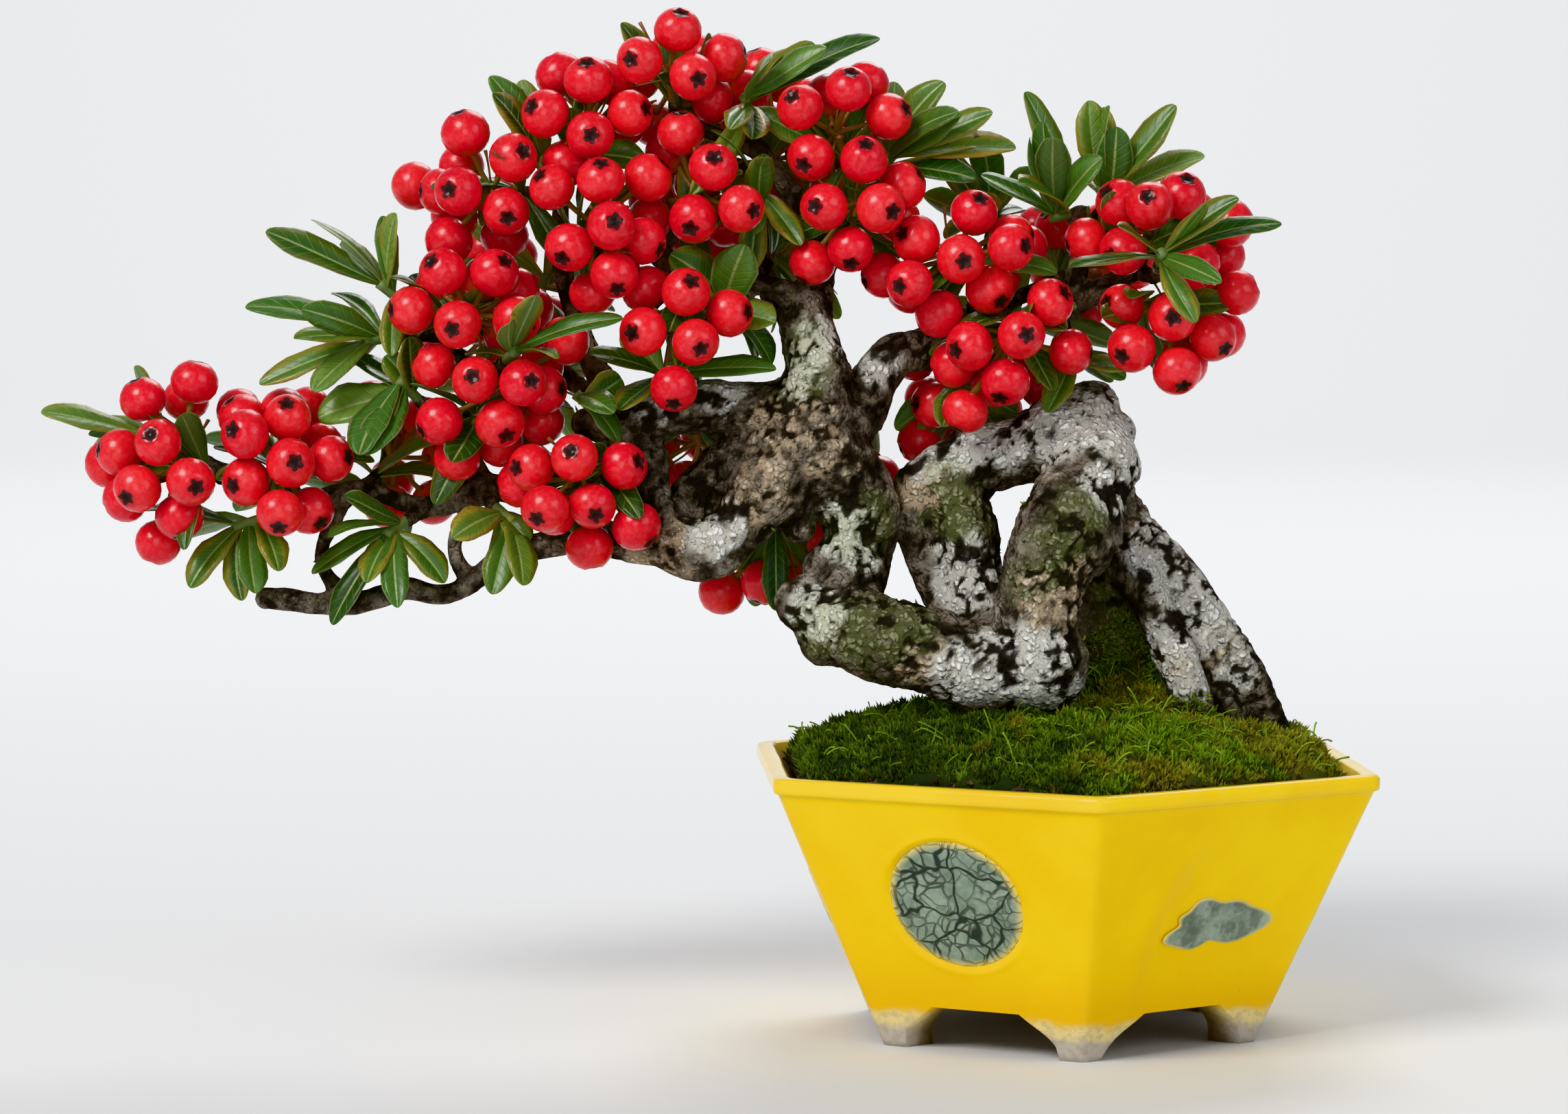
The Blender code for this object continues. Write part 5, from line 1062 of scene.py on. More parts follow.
def leaf_tries(name, seat, foot, tip, width, face, arch):
    """Leaves that reach for a tip, then turned aside more and more, then all of them smaller."""
    ways = ((1, 0), (-1, 0), (0, 1), (0, -1), (0.7, 0.7), (-0.7, 0.7), (0.7, -0.7), (-0.7, -0.7))
    swings = [(0, 0)] + [(a * k, b * k) for k in (12, 24, 38, 55, 75) for a, b in ways]
    for shrink in (1.0, 0.86, 0.72):
        for yaw, pitch in swings:
            turned = turned_about(np.subtract(tip, foot), (0, 0, 1), yaw)
            turned = turned_about(turned, unit(np.cross(turned, (0, 0, 1))), pitch)
            leaf = (foot, foot + turned * shrink, width * (0.5 + 0.5 * shrink), face, arch)
            grid = blade_points(*leaf, 13, 5)
            yield thicket.gap(grid[1:].reshape(-1, 3), BLADE_ROOM, name, seat), leaf, grid


# twigs first, then stalks, then leaves, so that no node touches another
random = np.random.default_rng(SEED)
limb_balls = np.vstack([smooth_path(points, LIMB_BALL_STEP) for points in LIMBS.values()])
berries, berry_owners = settle_berries(limb_balls)
thicket = Thicket()
thicket.add(limb_balls[:, :3], limb_balls[:, 3] * (1 + BARK_RELIEF), "trunk")
thicket.add(berries, BERRY_RADIUS, berry_owners)
plan = {}
for name, (limb, index, hub, *rest) in {**BUNCHES, **SPRAYS}.items():
    start = np.array(LIMBS[limb][index][:3], float)
    hub = np.array(hub, float)
    room = np.linalg.norm(hub - start) - LIMBS[limb][index][3] * (1 + BARK_RELIEF) - 0.8
    gap, twig, entry = clearest(twig_tries(name, start, hub, room), CLEARANCE)
    plan[name] = entry
    thicket.add(twig, TWIG_RADIUS, "twig_" + name)
    thicket.add(along(entry["seat"] + entry["ahead"] * 0.8, hub), SHOOT_RADIUS, name)
for name in BUNCHES:
    plan[name]["stalks"] = []
    for berry in berries[berry_owners == name]:
        gap, knee = clearest(stalk_tries(name, plan[name], berry), STALK_CLEARANCE)
        plan[name]["stalks"].append((knee, berry))
        thicket.add(along(knee, berry), STALK_RADIUS, name)
for name, (limb, index, hub, width, tips) in SPRAYS.items():
    entry = plan[name]
    entry["leaves"] = []
    room = max(np.linalg.norm(entry["hub"] - entry["seat"]) - LEAF_FOOT_ROOM, 0.0)
    for number, tip in enumerate(tips):
        foot = entry["hub"] - entry["ahead"] * room * number / len(tips)
        face = unit([random.normal(0, 0.25), -0.75 if tip[1] < 5 else 0.75, 0.75])
        own_width = width * random.uniform(0.88, 1.12)
        arch = random.uniform(0.02, 0.09)
        tries = leaf_tries(name, entry["seat"], foot, tip, own_width, face, arch)
        gap, leaf, grid = clearest(tries, CLEARANCE)
        if gap >= LEAST_CLEARANCE:
            entry["leaves"].append(leaf)
            thicket.add(grid.reshape(-1, 3), BLADE_ROOM, name)

# Old wood.  Roots, folded trunk, limbs and twigs grew as one piece, so they are one skin here too.
# The bark is knobbly and cracked into small plates. Its crevices, pits and hollows are dark, the bark's own
# colour there deepened to near black with painted shade, and its knobs are paler, from weathering and
# painted light. Grey lichen grows mostly on what faces the sky, that lean partly painted top light; cream
# shows where plates have flaked off, and green near the moss.
WOOD_VOXEL = 0.56
WOOD_SIDES = 20
WOOD_STEP = 0.8
LUMP_SIZE = 6.5
KNOB_SIZE = 2.9
PLATE_SIZE = 2.3
# Spots on the bark: x, y, z and reach of each
LICHEN_SPOTS = [(8, -3, 91, 8), (4, -5, 91, 8), (-1, -4, 88, 7), (-9, -4, 88, 7), (-14, -3, 86, 5),
    (-20, -1, 84, 4), (9, -5, 85, 6), (6, -9, 79, 5), (-3, -17, 51, 7), (-9, -17, 53, 8),
    (-15, -17, 53, 6), (-4, -17, 56, 6), (-36, -13, 62, 5), (-31, -5, 75, 5), (-30, -7, 71, 5),
    (-14, -4, 68, 6), (-13, -5, 64, 5), (14, -1, 70, 6), (18, -2, 65, 6), (22, -2, 59, 5),
    (26, -2, 53, 4), (15, -7, 57, 6), (18, -8, 52, 4), (-39, -9, 98, 6), (-35, -8, 102, 5),
    (-26, -4, 97, 4), (-50, -10, 74, 5), (-50, -7, 94, 5), (-59, -8, 92, 4), (0, 13, 85, 8),
    (-38, 5, 95, 8), (-10, 8, 85, 6), (14, 14, 62, 7), (-30, 6, 70, 6), (-16, -2, 52, 6), (-50, 3, 78, 6)]
FLAKED_SPOTS = [(-42, -10, 87, 7), (-44, -10, 80, 7), (-37, -9, 88, 5), (-50, -10, 76, 5),
    (-59, -9, 71, 6), (-34, -9, 84, 5), (-1, -16, 60, 6), (-4, -16, 64, 5), (-20, -16, 54, 5),
    (-21, -2, 80, 4), (2, -15, 66, 5), (17, -6, 55, 4), (24, -2, 56, 4), (-47, 0, 76, 6), (-29, 5, 84, 6),
    (3, 12, 86, 5), (-12, -14, 50, 5), (12, 2, 72, 4)]
GREEN_SPOTS = [(-24, -16, 59, 7), (-29, -15, 60, 7), (-35, -13, 61, 6), (-15, -4, 77, 7),
    (-17, -4, 81, 5), (1, -13, 75, 6), (-2, -13, 71, 6), (-5, -13, 67, 5), (-30, -6, 74, 7),
    (-39, -8, 98, 7), (10, 6, 58, 8), (10, 8, 52, 9), (9, 5, 66, 6), (-3, 13, 45, 8), (20, 16, 50, 8),
    (-8, 8, 60, 7), (-30, 4, 76, 7)]


def cell_borders(places, size, seed):
    """Distance, in cells, from the border between the two nearest of one jittered point per lattice cell."""
    spread = np.asarray(places, float) / size + 17.3 * seed
    home = np.floor(spread).astype(np.int64)
    nearest = np.full((len(spread), 2), 9.0)
    for corner in np.ndindex(3, 3, 3):
        cell = home + np.array(corner) - 1
        jitter = lattice_random(cell, (1274126177, 668265263, 374761393))
        away = np.linalg.norm(cell + jitter - spread, axis=1)
        nearest = np.sort(np.column_stack([nearest, away]), axis=1)[:, :2]
    return nearest[:, 1] - nearest[:, 0]


def rings_along(path, radii, sides):
    """Rings of points round a path, turned along with it, with half a ball at either end."""
    dome = np.radians([15, 35, 55, 75])
    first, last = unit(path[0] - path[1]), unit(path[-1] - path[-2])
    path = np.vstack([path[0] + first * (radii[0] * np.sin(dome[::-1]))[:, None], path,
                      path[-1] + last * (radii[-1] * np.sin(dome))[:, None]])
    radii = np.concatenate([radii[0] * np.cos(dome[::-1]), radii, radii[-1] * np.cos(dome)])
    ahead = units(np.gradient(path, axis=0))
    side = np.cross(ahead[0], (0.3, 0.2, 0.93))
    sides_way = []
    for way in ahead:
        side = unit(side - way * (side @ way))
        sides_way.append(side)
    side = np.array(sides_way)[:, None]
    other = np.cross(ahead, side[:, 0])[:, None]
    turn = np.linspace(0, 2 * np.pi, sides, endpoint=False)[None, :, None]
    rings = path[:, None] + (side * np.cos(turn) + other * np.sin(turn)) * radii[:, None, None]
    caps = np.repeat(path[[0, -1], None], sides, axis=1)
    return np.concatenate([caps[:1], rings, caps[1:]])


def joined(parts):
    """Several pairs of points and faces as one pair."""
    starts = np.cumsum([0] + [len(points) for points, faces in parts])
    return (np.vstack([points for points, faces in parts]),
            np.vstack([faces + start for (points, faces), start in zip(parts, starts)]))


def near_spots(places, spots):
    """1 at the middle of any spot, fading to 0 over its reach."""
    share = np.zeros(len(places))
    for x, y, z, reach in spots:
        share = np.maximum(share, np.exp(-(((places - (x, y, z)) ** 2).sum(axis=1) / reach ** 2) ** 1.5))
    return share


def read_out(items, field, width, kind=float):
    """The numbers of a field of mesh items, in rows of a width."""
    values = np.empty(len(items) * len(np.ravel(getattr(items[0], field))), dtype=kind)
    items.foreach_get(field, values)
    return values.reshape(-1, width)


wood_lines = []
for number, points in enumerate(LIMBS.values()):
    coarse = smooth_path(points, RING_STEP)
    knobs = 1 + BARK_RELIEF * np.random.default_rng(SEED + number).uniform(-1, 1, len(coarse))
    fine = smooth_path(points, WOOD_STEP)
    steps = np.linspace(0, len(coarse) - 1, len(fine))
    fine[:, 3] *= np.interp(steps, np.arange(len(coarse)), knobs)
    wood_lines.append(fine)
for entry in plan.values():
    stub = entry["seat"] + entry["ahead"] * 0.5
    line = smooth_path([entry["start"], entry["middle"], entry["seat"], stub], WOOD_STEP)
    girth = np.linspace(TWIG_RADIUS * 1.05, SHOOT_RADIUS, len(line))
    wood_lines.append(np.column_stack([line, girth * (1 + 0.12 * np.sin(np.arange(len(line)) * 1.7))]))
wood_parts = []
for line in wood_lines:
    rings = rings_along(line[:, :3], line[:, 3], WOOD_SIDES)
    wood_parts.append((rings.reshape(-1, 3), grid_faces(len(rings), WOOD_SIDES, False, True)))
points, faces = joined(wood_parts)
rough_mesh = bpy.data.meshes.new("rough_wood")
rough_mesh.from_pydata(points, [], faces)
join_points(rough_mesh, 1e-4, True)
rough_wood = new_object("rough_wood", rough_mesh)
melt = rough_wood.modifiers.new("melt", "REMESH")
melt.mode = "VOXEL"
melt.voxel_size = WOOD_VOXEL
calm = rough_wood.modifiers.new("calm", "SMOOTH")
calm.factor = 0.5
calm.iterations = 3
bpy.context.view_layer.update()
skin = bpy.data.meshes.new_from_object(rough_wood.evaluated_get(bpy.context.evaluated_depsgraph_get()))
bpy.data.objects.remove(rough_wood)
skin_points = read_out(skin.vertices, "co", 3)
skin_normals = read_out(skin.vertex_normals, "vector", 3)
skin_faces = read_out(skin.loops, "vertex_index", 4, np.int64)
balls = np.vstack(wood_lines)
girth = []
for block in np.array_split(skin_points, len(skin_points) // 4000 + 1):
    away = np.linalg.norm(block[:, None] - balls[:, :3], axis=2) / balls[:, 3]
    girth.append(balls[away.argmin(axis=1), 3])
girth = np.concatenate(girth)
stout = np.clip(girth / 5.0, 0.12, 1.0)
drift = np.column_stack([lattice_noise(skin_points, 2.0, seed) for seed in (31, 32, 33)])
borders = cell_borders(skin_points + 0.5 * drift, PLATE_SIZE, 3)
cracked = smooth_step(-0.45, 0.35, layers(skin_points, (1, 4.6, 44), (0.4, 1.9, 45)))
crevice = (1 - smooth_step(0.02, 0.26, borders)) * cracked
lumps, knobs, pits, crumbs = (lattice_noise(skin_points, size, seed) for size, seed in
                              ((LUMP_SIZE, 41), (KNOB_SIZE, 42), (1.4, 43), (0.95, 46)))
relief = stout * (0.50 * lumps + 0.42 * knobs + 0.22 * pits + 0.12 * crumbs - 0.36 * crevice + 0.34)
relief += np.where(girth < 2.4, 0.14 * knobs, 0.0)
wood = skin_points + skin_normals * relief[:, None]
# hollow: high in pits and crevices, where painted shade goes
hollow = np.clip(0.5 - 0.95 * (0.40 * knobs + 0.30 * pits + 0.2 * crumbs - 0.40 * crevice), 0, 1)
deep = 0.5 * smooth_step(0.6, 0.95, hollow)
grain = layers(wood, (1, 3.4, 51), (0.6, 1.3, 52))
# lichen favours upward faces by 0.18 of the normal's height: where it grows, and painted top light with
# darker undersides
lichen = smooth_step(0.05, 0.40, near_spots(wood, LICHEN_SPOTS) * 1.25 + 0.18 * skin_normals[:, 2]
                     + 0.30 * grain - 0.42 - 0.25 * crevice - deep)
flaked = smooth_step(0.10, 0.45, near_spots(wood, FLAKED_SPOTS) * 1.1
                     + layers(wood, (0.40, 3.6, 53), (0.25, 1.5, 55)) - 0.36 - deep)
green = smooth_step(0.1, 0.7, near_spots(wood, GREEN_SPOTS) + 0.30 * lattice_noise(wood, 5.0, 54)
                    + 0.5 * smooth_step(56, 44, wood[:, 2]) - 0.2)

bark, n, place, cloud = mottled_material("old_bark", 300.0, 1300.0, 0.5, Roughness=0.92,
                                         Specular_IOR_Level=0.2)
sunk = n.mask("hollow")
green_share = n.mask("green")
warp = n.swirl(place, 420.0, 0.0022)
beads = n.ramp(n.cells(warp, 950.0), 0.62, 0.22)
mossy = n.times(green_share, n.ramp(n.noise(place, 420.0, 4.0), 0.33, 0.58, 0.4, 0.95))
peeled = n.times(n.mask("flaked"), n.ramp(n.noise(place, 430.0, 4.0, 0.6), 0.42, 0.52, 0.12, 1.0))
crust = n.times(n.mask("lichen"), n.ramp(n.noise(place, 520.0, 4.0, 0.65), 0.33, 0.47, 0.30, 1.0))
grey = n.ramp(n.noise(place, 240.0, 4.0, 0.6), 0.40, 0.62, 0.0, 0.75)
grey = n.blend(grey, (0.92, 0.925, 0.90), (0.66, 0.665, 0.61))
lichen_colour = n.paint((0.53, 0.52, 0.46), (beads, grey), (green_share, (0.47, 0.51, 0.33), 0.6))
# crevices, pits and hollows darkened to near black and knobs paler: bark colour with painted shade and
# painted light
colour = n.paint((0.036, 0.030, 0.023),
                 (n.ramp(n.noise(place, 360.0, 5.0, 0.62), 0.38, 0.62), (0.19, 0.165, 0.13)),
                 (n.ramp(sunk, 0.55, 0.15), (0.40, 0.36, 0.29), cloud["Mixed"]),
                 (mossy, n.blend(beads, (0.10, 0.115, 0.05), (0.30, 0.315, 0.18))),
                 (peeled, n.blend(n.tint(warp, 950.0), (0.40, 0.31, 0.21), (0.74, 0.65, 0.50), beads)),
                 (crust, lichen_colour), (n.ramp(sunk, 0.62, 0.90), (0.014, 0.012, 0.010), 0.92),
                 (n.ramp(n.noise(place, 1500.0, 4.0, 0.7), 0.57, 0.66), (0.026, 0.022, 0.017), 0.75))
rough = n.math("ADD", n.times(n.noise(place, 1000.0, 4.0, 0.62), 0.6), n.times(beads, 0.4))
n.finish(Base_Color=colour, Normal=n.bump(rough, 0.0009))
make_piece("trunk_wood", wood, skin_faces, bark, ("trunk",),
           {"lichen": lichen * (0.35 + 0.65 * stout), "flaked": flaked * (1 - 0.8 * crevice),
            "green": green, "hollow": hollow})

# Moss on the roots.  Short moss climbs the shaded back leg and the roots, so that the wood rises out
# of the cushions without a hard line.
ROOT_FRONDS = 4200
ROOT_SPOTS = [(10, 7, 52, 7), (10, 5, 57, 5), (-3, 13, 42, 7), (21, 17, 46, 7), (19, -6, 46, 4)]
chance = near_spots(wood, ROOT_SPOTS) + 0.35 * lattice_noise(wood, 3.0, 61)
chance = smooth_step(0.25, 0.9, chance) * (wood[:, 2] > 40)
chosen = draw.choice(len(wood), ROOT_FRONDS, p=chance / chance.sum())
foot = wood[chosen] + draw.normal(0, 0.15, (ROOT_FRONDS, 3))
way = units(skin_normals[chosen] + draw.normal(0, 0.45, (ROOT_FRONDS, 3)) + np.array([0, 0, 0.35]))
spin = draw.normal(0, 1, (ROOT_FRONDS, 3))
blades = spikes(foot, way, draw.uniform(0.6, 1.4, (ROOT_FRONDS, 1)), spin, 0.4, 0.22, 0.19)
dark = np.repeat(np.clip(0.65 + draw.normal(0, 0.25, ROOT_FRONDS), 0, 1), 5)
brown = np.repeat(np.clip(draw.normal(0.2, 0.3, ROOT_FRONDS), 0, 1), 5)
make_piece("moss_on_roots", blades, copies(SPIKE, ROOT_FRONDS, 5), moss_green, smooth=False,
           masks={"dark": dark, "brown": brown, "tip": np.tile([0, 0.1, 0.1, 0.1, 0.7], ROOT_FRONDS)})

# Bunches of berries.  Firethorn fruit is a small pome, glossy red and slightly flat, with the dark
# five-pointed remains of the flower at its free end.  Each bunch fans out on thin stalks from a short
# shoot, its berries crowd each other until they touch, and dry flower stalks are left among them.
BERRY_ROWS = np.array([0, 0.09, 0.18, 0.28, 0.41, 0.62, 0.9, 1.22, 1.56, 1.9, 2.25, 2.6, 2.88, np.pi])
BERRY_COLUMNS = 20
BERRY_FLATNESS = 0.94
CALYX_SIZE = 1.12
BERRY_SIZES = (0.93, 1.0)
EXTRA_BERRIES = 6
CROWD_WAYS = 90
NEIGHBOUR_REACH = 26.0
CROWDED_REACH = (7.0, 13.0)
CROWN_TOP = 145.2
STALK_THICKNESS = 0.40
DRY_STALKS = 5
DRY_STALK_THICKNESS = 0.17
DRY_STALK_LENGTHS = (5.0, 9.5)


def berry_bundle(centres, axes, sizes, random):
    """Unit spheres flattened along their axes, dimpled and lobed at the blossom end, and the place on
    each berry's skin seen from that end, with a tone of its own, for the flower."""
    down = BERRY_ROWS[None, :, None]
    turn = np.linspace(0, 2 * np.pi, BERRY_COLUMNS, endpoint=False)
    count = len(centres)
    spin = random.uniform(0, 2 * np.pi, (count, 1, 1))
    squash = BERRY_FLATNESS * random.uniform(0.96, 1.03, (count, 1, 1))
    wide = np.sin(down) * (1 + 0.014 * np.cos(2 * turn + spin) + 0.010 * np.cos(3 * turn + 2 * spin))
    high = squash * np.cos(down) - 0.13 * np.exp(-(down / 0.24) ** 2)
    high = high + 0.07 * np.exp(-((np.pi - down) / 0.3) ** 2)
    high = high + 0.035 * np.exp(-((down - 0.40) / 0.13) ** 2) * (0.6 + 0.4 * np.cos(5 * turn))
    side, other, axes, centres = (way[:, None, None] for way in (*frames_along(axes), axes, centres))
    flat = side * (wide * np.cos(turn))[..., None] + other * (wide * np.sin(turn))[..., None]
    points = centres + sizes[:, None, None, None] * (flat + axes * high[..., None])
    arc = BERRY_RADIUS * down
    tone = random.uniform(0, 1, (count, 1, 1))
    flower = np.stack(np.broadcast_arrays(arc * np.cos(turn), arc * np.sin(turn), tone), axis=-1)
    faces = grid_faces(len(BERRY_ROWS), BERRY_COLUMNS, False, True)[:, ::-1]
    faces = copies(faces, count, len(BERRY_ROWS) * BERRY_COLUMNS)
    return (points.reshape(-1, 3), faces), flower.reshape(-1, 3)


def stalk_line(knee, berry):
    """Points along a stalk, which ends just outside the berry's skin."""
    return along(knee, berry - unit(berry - knee) * BERRY_RADIUS * 1.2)


def crowd_in(hub, own, others, radii, own_stalks):
    """More places for berries of a bunch: each touches a berry that is there, and crosses nothing."""
    ways = golden_ways(1 - 2 * (np.arange(CROWD_WAYS) + 0.5) / CROWD_WAYS)
    added = []
    for _ in range(EXTRA_BERRIES):
        tried = (own[:, None] + ways * (2 * BERRY_RADIUS + 0.05)).reshape(-1, 3)
        reach = np.linalg.norm(tried - hub, axis=1)
        tried = tried[(reach > CROWDED_REACH[0]) & (reach < CROWDED_REACH[1]) & (tried[:, 2] < CROWN_TOP)]
        gap = (np.linalg.norm(tried[:, None] - others, axis=2) - radii).min(axis=1) - BERRY_RADIUS
        between = np.linalg.norm(tried[:, None] - own, axis=2)
        free = (gap > -0.1) & (between.min(axis=1) > 2 * BERRY_RADIUS - 0.05)
        free &= np.linalg.norm(tried[:, None] - own_stalks, axis=2).min(axis=1) > BERRY_RADIUS + 0.1
        if not free.any():
            break
        tried, between = tried[free], between[free]
        worth = (between < 2 * BERRY_RADIUS + 1.2).sum(axis=1) - 0.12 * np.linalg.norm(tried - hub, axis=1)
        best = tried[(worth + 0.03 * tried[:, 1]).argmax()]
        added.append(best)
        own = np.vstack([own, best])
        others = np.vstack([others, best])
        radii = np.append(radii, BERRY_RADIUS)
        own_stalks = np.vstack([own_stalks, stalk_line(hub, best)])
    return added


def shoot_stem(entry, beyond, thick, flare):
    """The short shoot of a bunch or spray, from inside its twig to a little beyond its hub."""
    root = entry["seat"] - entry["ahead"] * 0.9
    tip = entry["hub"] + entry["ahead"] * beyond
    return stalk_bundle([root], [(root + entry["hub"]) / 2], [tip], [SHOOT_RADIUS * thick], flare, 8, 10)


berry_skin, n, place, cloud = mottled_material(
    "berry_skin", 210.0, 1500.0, 0.35, Coat_Weight=0.3, Coat_Roughness=0.12, IOR=1.45,
    Subsurface_Weight=0.12, Subsurface_Radius=(0.002, 0.0004, 0.0003), Subsurface_Scale=1.0)
flower = n.mask("flower", "Vector")
across, upward, tone = (n.part(flower, axis) for axis in "XYZ")
stalk = n.mask("stalk")
on_stalk = n.math("MINIMUM", stalk, 1.0)
away = n.math("SQRT", n.math("ADD", n.times(across, across), n.times(upward, upward)))
turn = n.math("ARCTAN2", upward, across)
points_out = n.math("COSINE", n.math("ADD", n.times(turn, 5.0), n.times(tone, 6.28)))
star_reach = n.math("MULTIPLY_ADD", points_out, 0.20, 1.0)
worn = n.math("MULTIPLY_ADD", n.noise(place, 1300.0, 2.0), 0.7, -0.35)
star_edge = n.math("ADD", n.math("DIVIDE", away, star_reach), worn)
star = n.ramp(star_edge, CALYX_SIZE * 1.12, CALYX_SIZE * 0.92)
heart = n.ramp(star_edge, CALYX_SIZE * 0.75, CALYX_SIZE * 0.4)
stalk_colour = n.paint((0.20, 0.17, 0.05), (n.noise(place, 190.0), (0.34, 0.12, 0.03)),
                       (n.math("GREATER_THAN", stalk, 1.5), (0.24, 0.12, 0.05)))
colour = n.paint((0.68, 0.007, 0.022), (tone, (0.82, 0.032, 0.040)),
                 (cloud["Patches"], (0.47, 0.004, 0.012), 0.4),
                 (n.ramp(away, 8.6, 11.2), (0.72, 0.17, 0.02), 0.65),
                 (cloud["Specks"], (0.95, 0.22, 0.20), 0.16),
                 (n.ramp(away, 2.1, 1.1, 0.0, 0.55), (0.33, 0.003, 0.008)),
                 (star, (0.060, 0.008, 0.008)), (heart, (0.012, 0.004, 0.003)), (on_stalk, stalk_colour))
shine = n.math("ADD", n.times(cloud["Mixed"], 0.14), 0.26)
rough_star = n.math("SUBTRACT", n.times(n.noise(place, 700.0, 2.0), 0.5), star)
n.finish(Base_Color=colour,
         Roughness=n.math("MAXIMUM", shine, n.times(n.math("MAXIMUM", star, on_stalk), 0.7)),
         Normal=n.bump(rough_star, 0.00018, 0.8))

berry_number = 0
for name in BUNCHES:
    entry = plan[name]
    random = np.random.default_rng(SEED + 300 + len(name) + berry_number)
    hub, ahead = entry["hub"], entry["ahead"]
    knees, own = (list(values) for values in zip(*entry["stalks"]))
    own_stalks = [stalk_line(knee, berry) for knee, berry in entry["stalks"]] + [along(entry["seat"], hub)]
    foreign = (np.linalg.norm(thicket.centres - hub, axis=1) < NEIGHBOUR_REACH) & (thicket.owners != name)
    added = crowd_in(hub, np.array(own), thicket.centres[foreign], thicket.radii[foreign],
                     np.vstack(own_stalks))
    thicket.add(np.reshape(added, (-1, 3)), BERRY_RADIUS, name)
    knees = np.array(knees + [hub - ahead * 0.4 * (i % 3) for i in range(len(added))])
    centres = np.array(own + added)
    axes = units(units(centres - knees) + random.normal(0, 0.12, centres.shape))
    sizes = BERRY_RADIUS * random.uniform(*BERRY_SIZES, len(centres))
    fruit, flower = berry_bundle(centres, axes, sizes, random)
    joins = centres - axes * (sizes * 0.82)[:, None]
    middles = (knees + joins) / 2 + random.normal(0, 0.35, knees.shape) - np.array([0, 0, 0.35])
    stalks = stalk_bundle(knees, middles, joins, STALK_THICKNESS * random.uniform(0.85, 1.1, len(knees)))
    way = units(random.normal(0, 1, (DRY_STALKS, 3)) + ahead)
    tips = hub + way * random.uniform(*DRY_STALK_LENGTHS, (DRY_STALKS, 1))
    middles = hub + way * 3.2 + random.normal(0, 0.9, (DRY_STALKS, 3))
    dry = stalk_bundle(np.tile(hub, (DRY_STALKS, 1)), middles, tips, DRY_STALK_THICKNESS, 0.9, 7, 5)
    parts = [fruit, stalks, dry, shoot_stem(entry, 0.4, 0.82, 0.12)]
    points, faces = joined(parts)
    flower = np.vstack([flower, np.full((len(points) - len(flower), 3), 6.0)])
    stalk = np.repeat([0.0, 1.0, 2.0, 1.0], [len(part[0]) for part in parts])
    make_piece(name + "_ripe", points, faces, berry_skin, (name,),
               {"flower": flower, "stalk": stalk}, weld=2e-4)
    berry_number += len(centres)

# Sprays of leaves.  The leaf is leathery and spoon-shaped, blunt at the tip, folded along a pale
# midrib, glossy dark green above and dull below, with a fine cream margin.  Young ones are yellow
# green, and old ones turn orange at the edge.
LEAF_T = np.array([0, 0.04, 0.09, 0.16, 0.25, 0.36, 0.48, 0.60, 0.71, 0.81, 0.89, 0.945, 0.98, 0.995, 1.0])
LEAF_S = np.array([-1, -0.55, -0.13, 0, 0.13, 0.55, 1, 0.5, 0, -0.5])
LEAF_THICKNESS = 0.34
PETIOLE_HALF = 0.34
EXTRA_LEAVES = 4
EXTRA_LEAF_TRIES = 10
EXTRA_ROOM = 0.4
LEAF_DARK = (0.022, 0.060, 0.014)
LEAF_MID = (0.070, 0.165, 0.032)
LEAF_PALE = (0.19, 0.30, 0.07)
LEAF_AGED = (0.36, 0.27, 0.05)


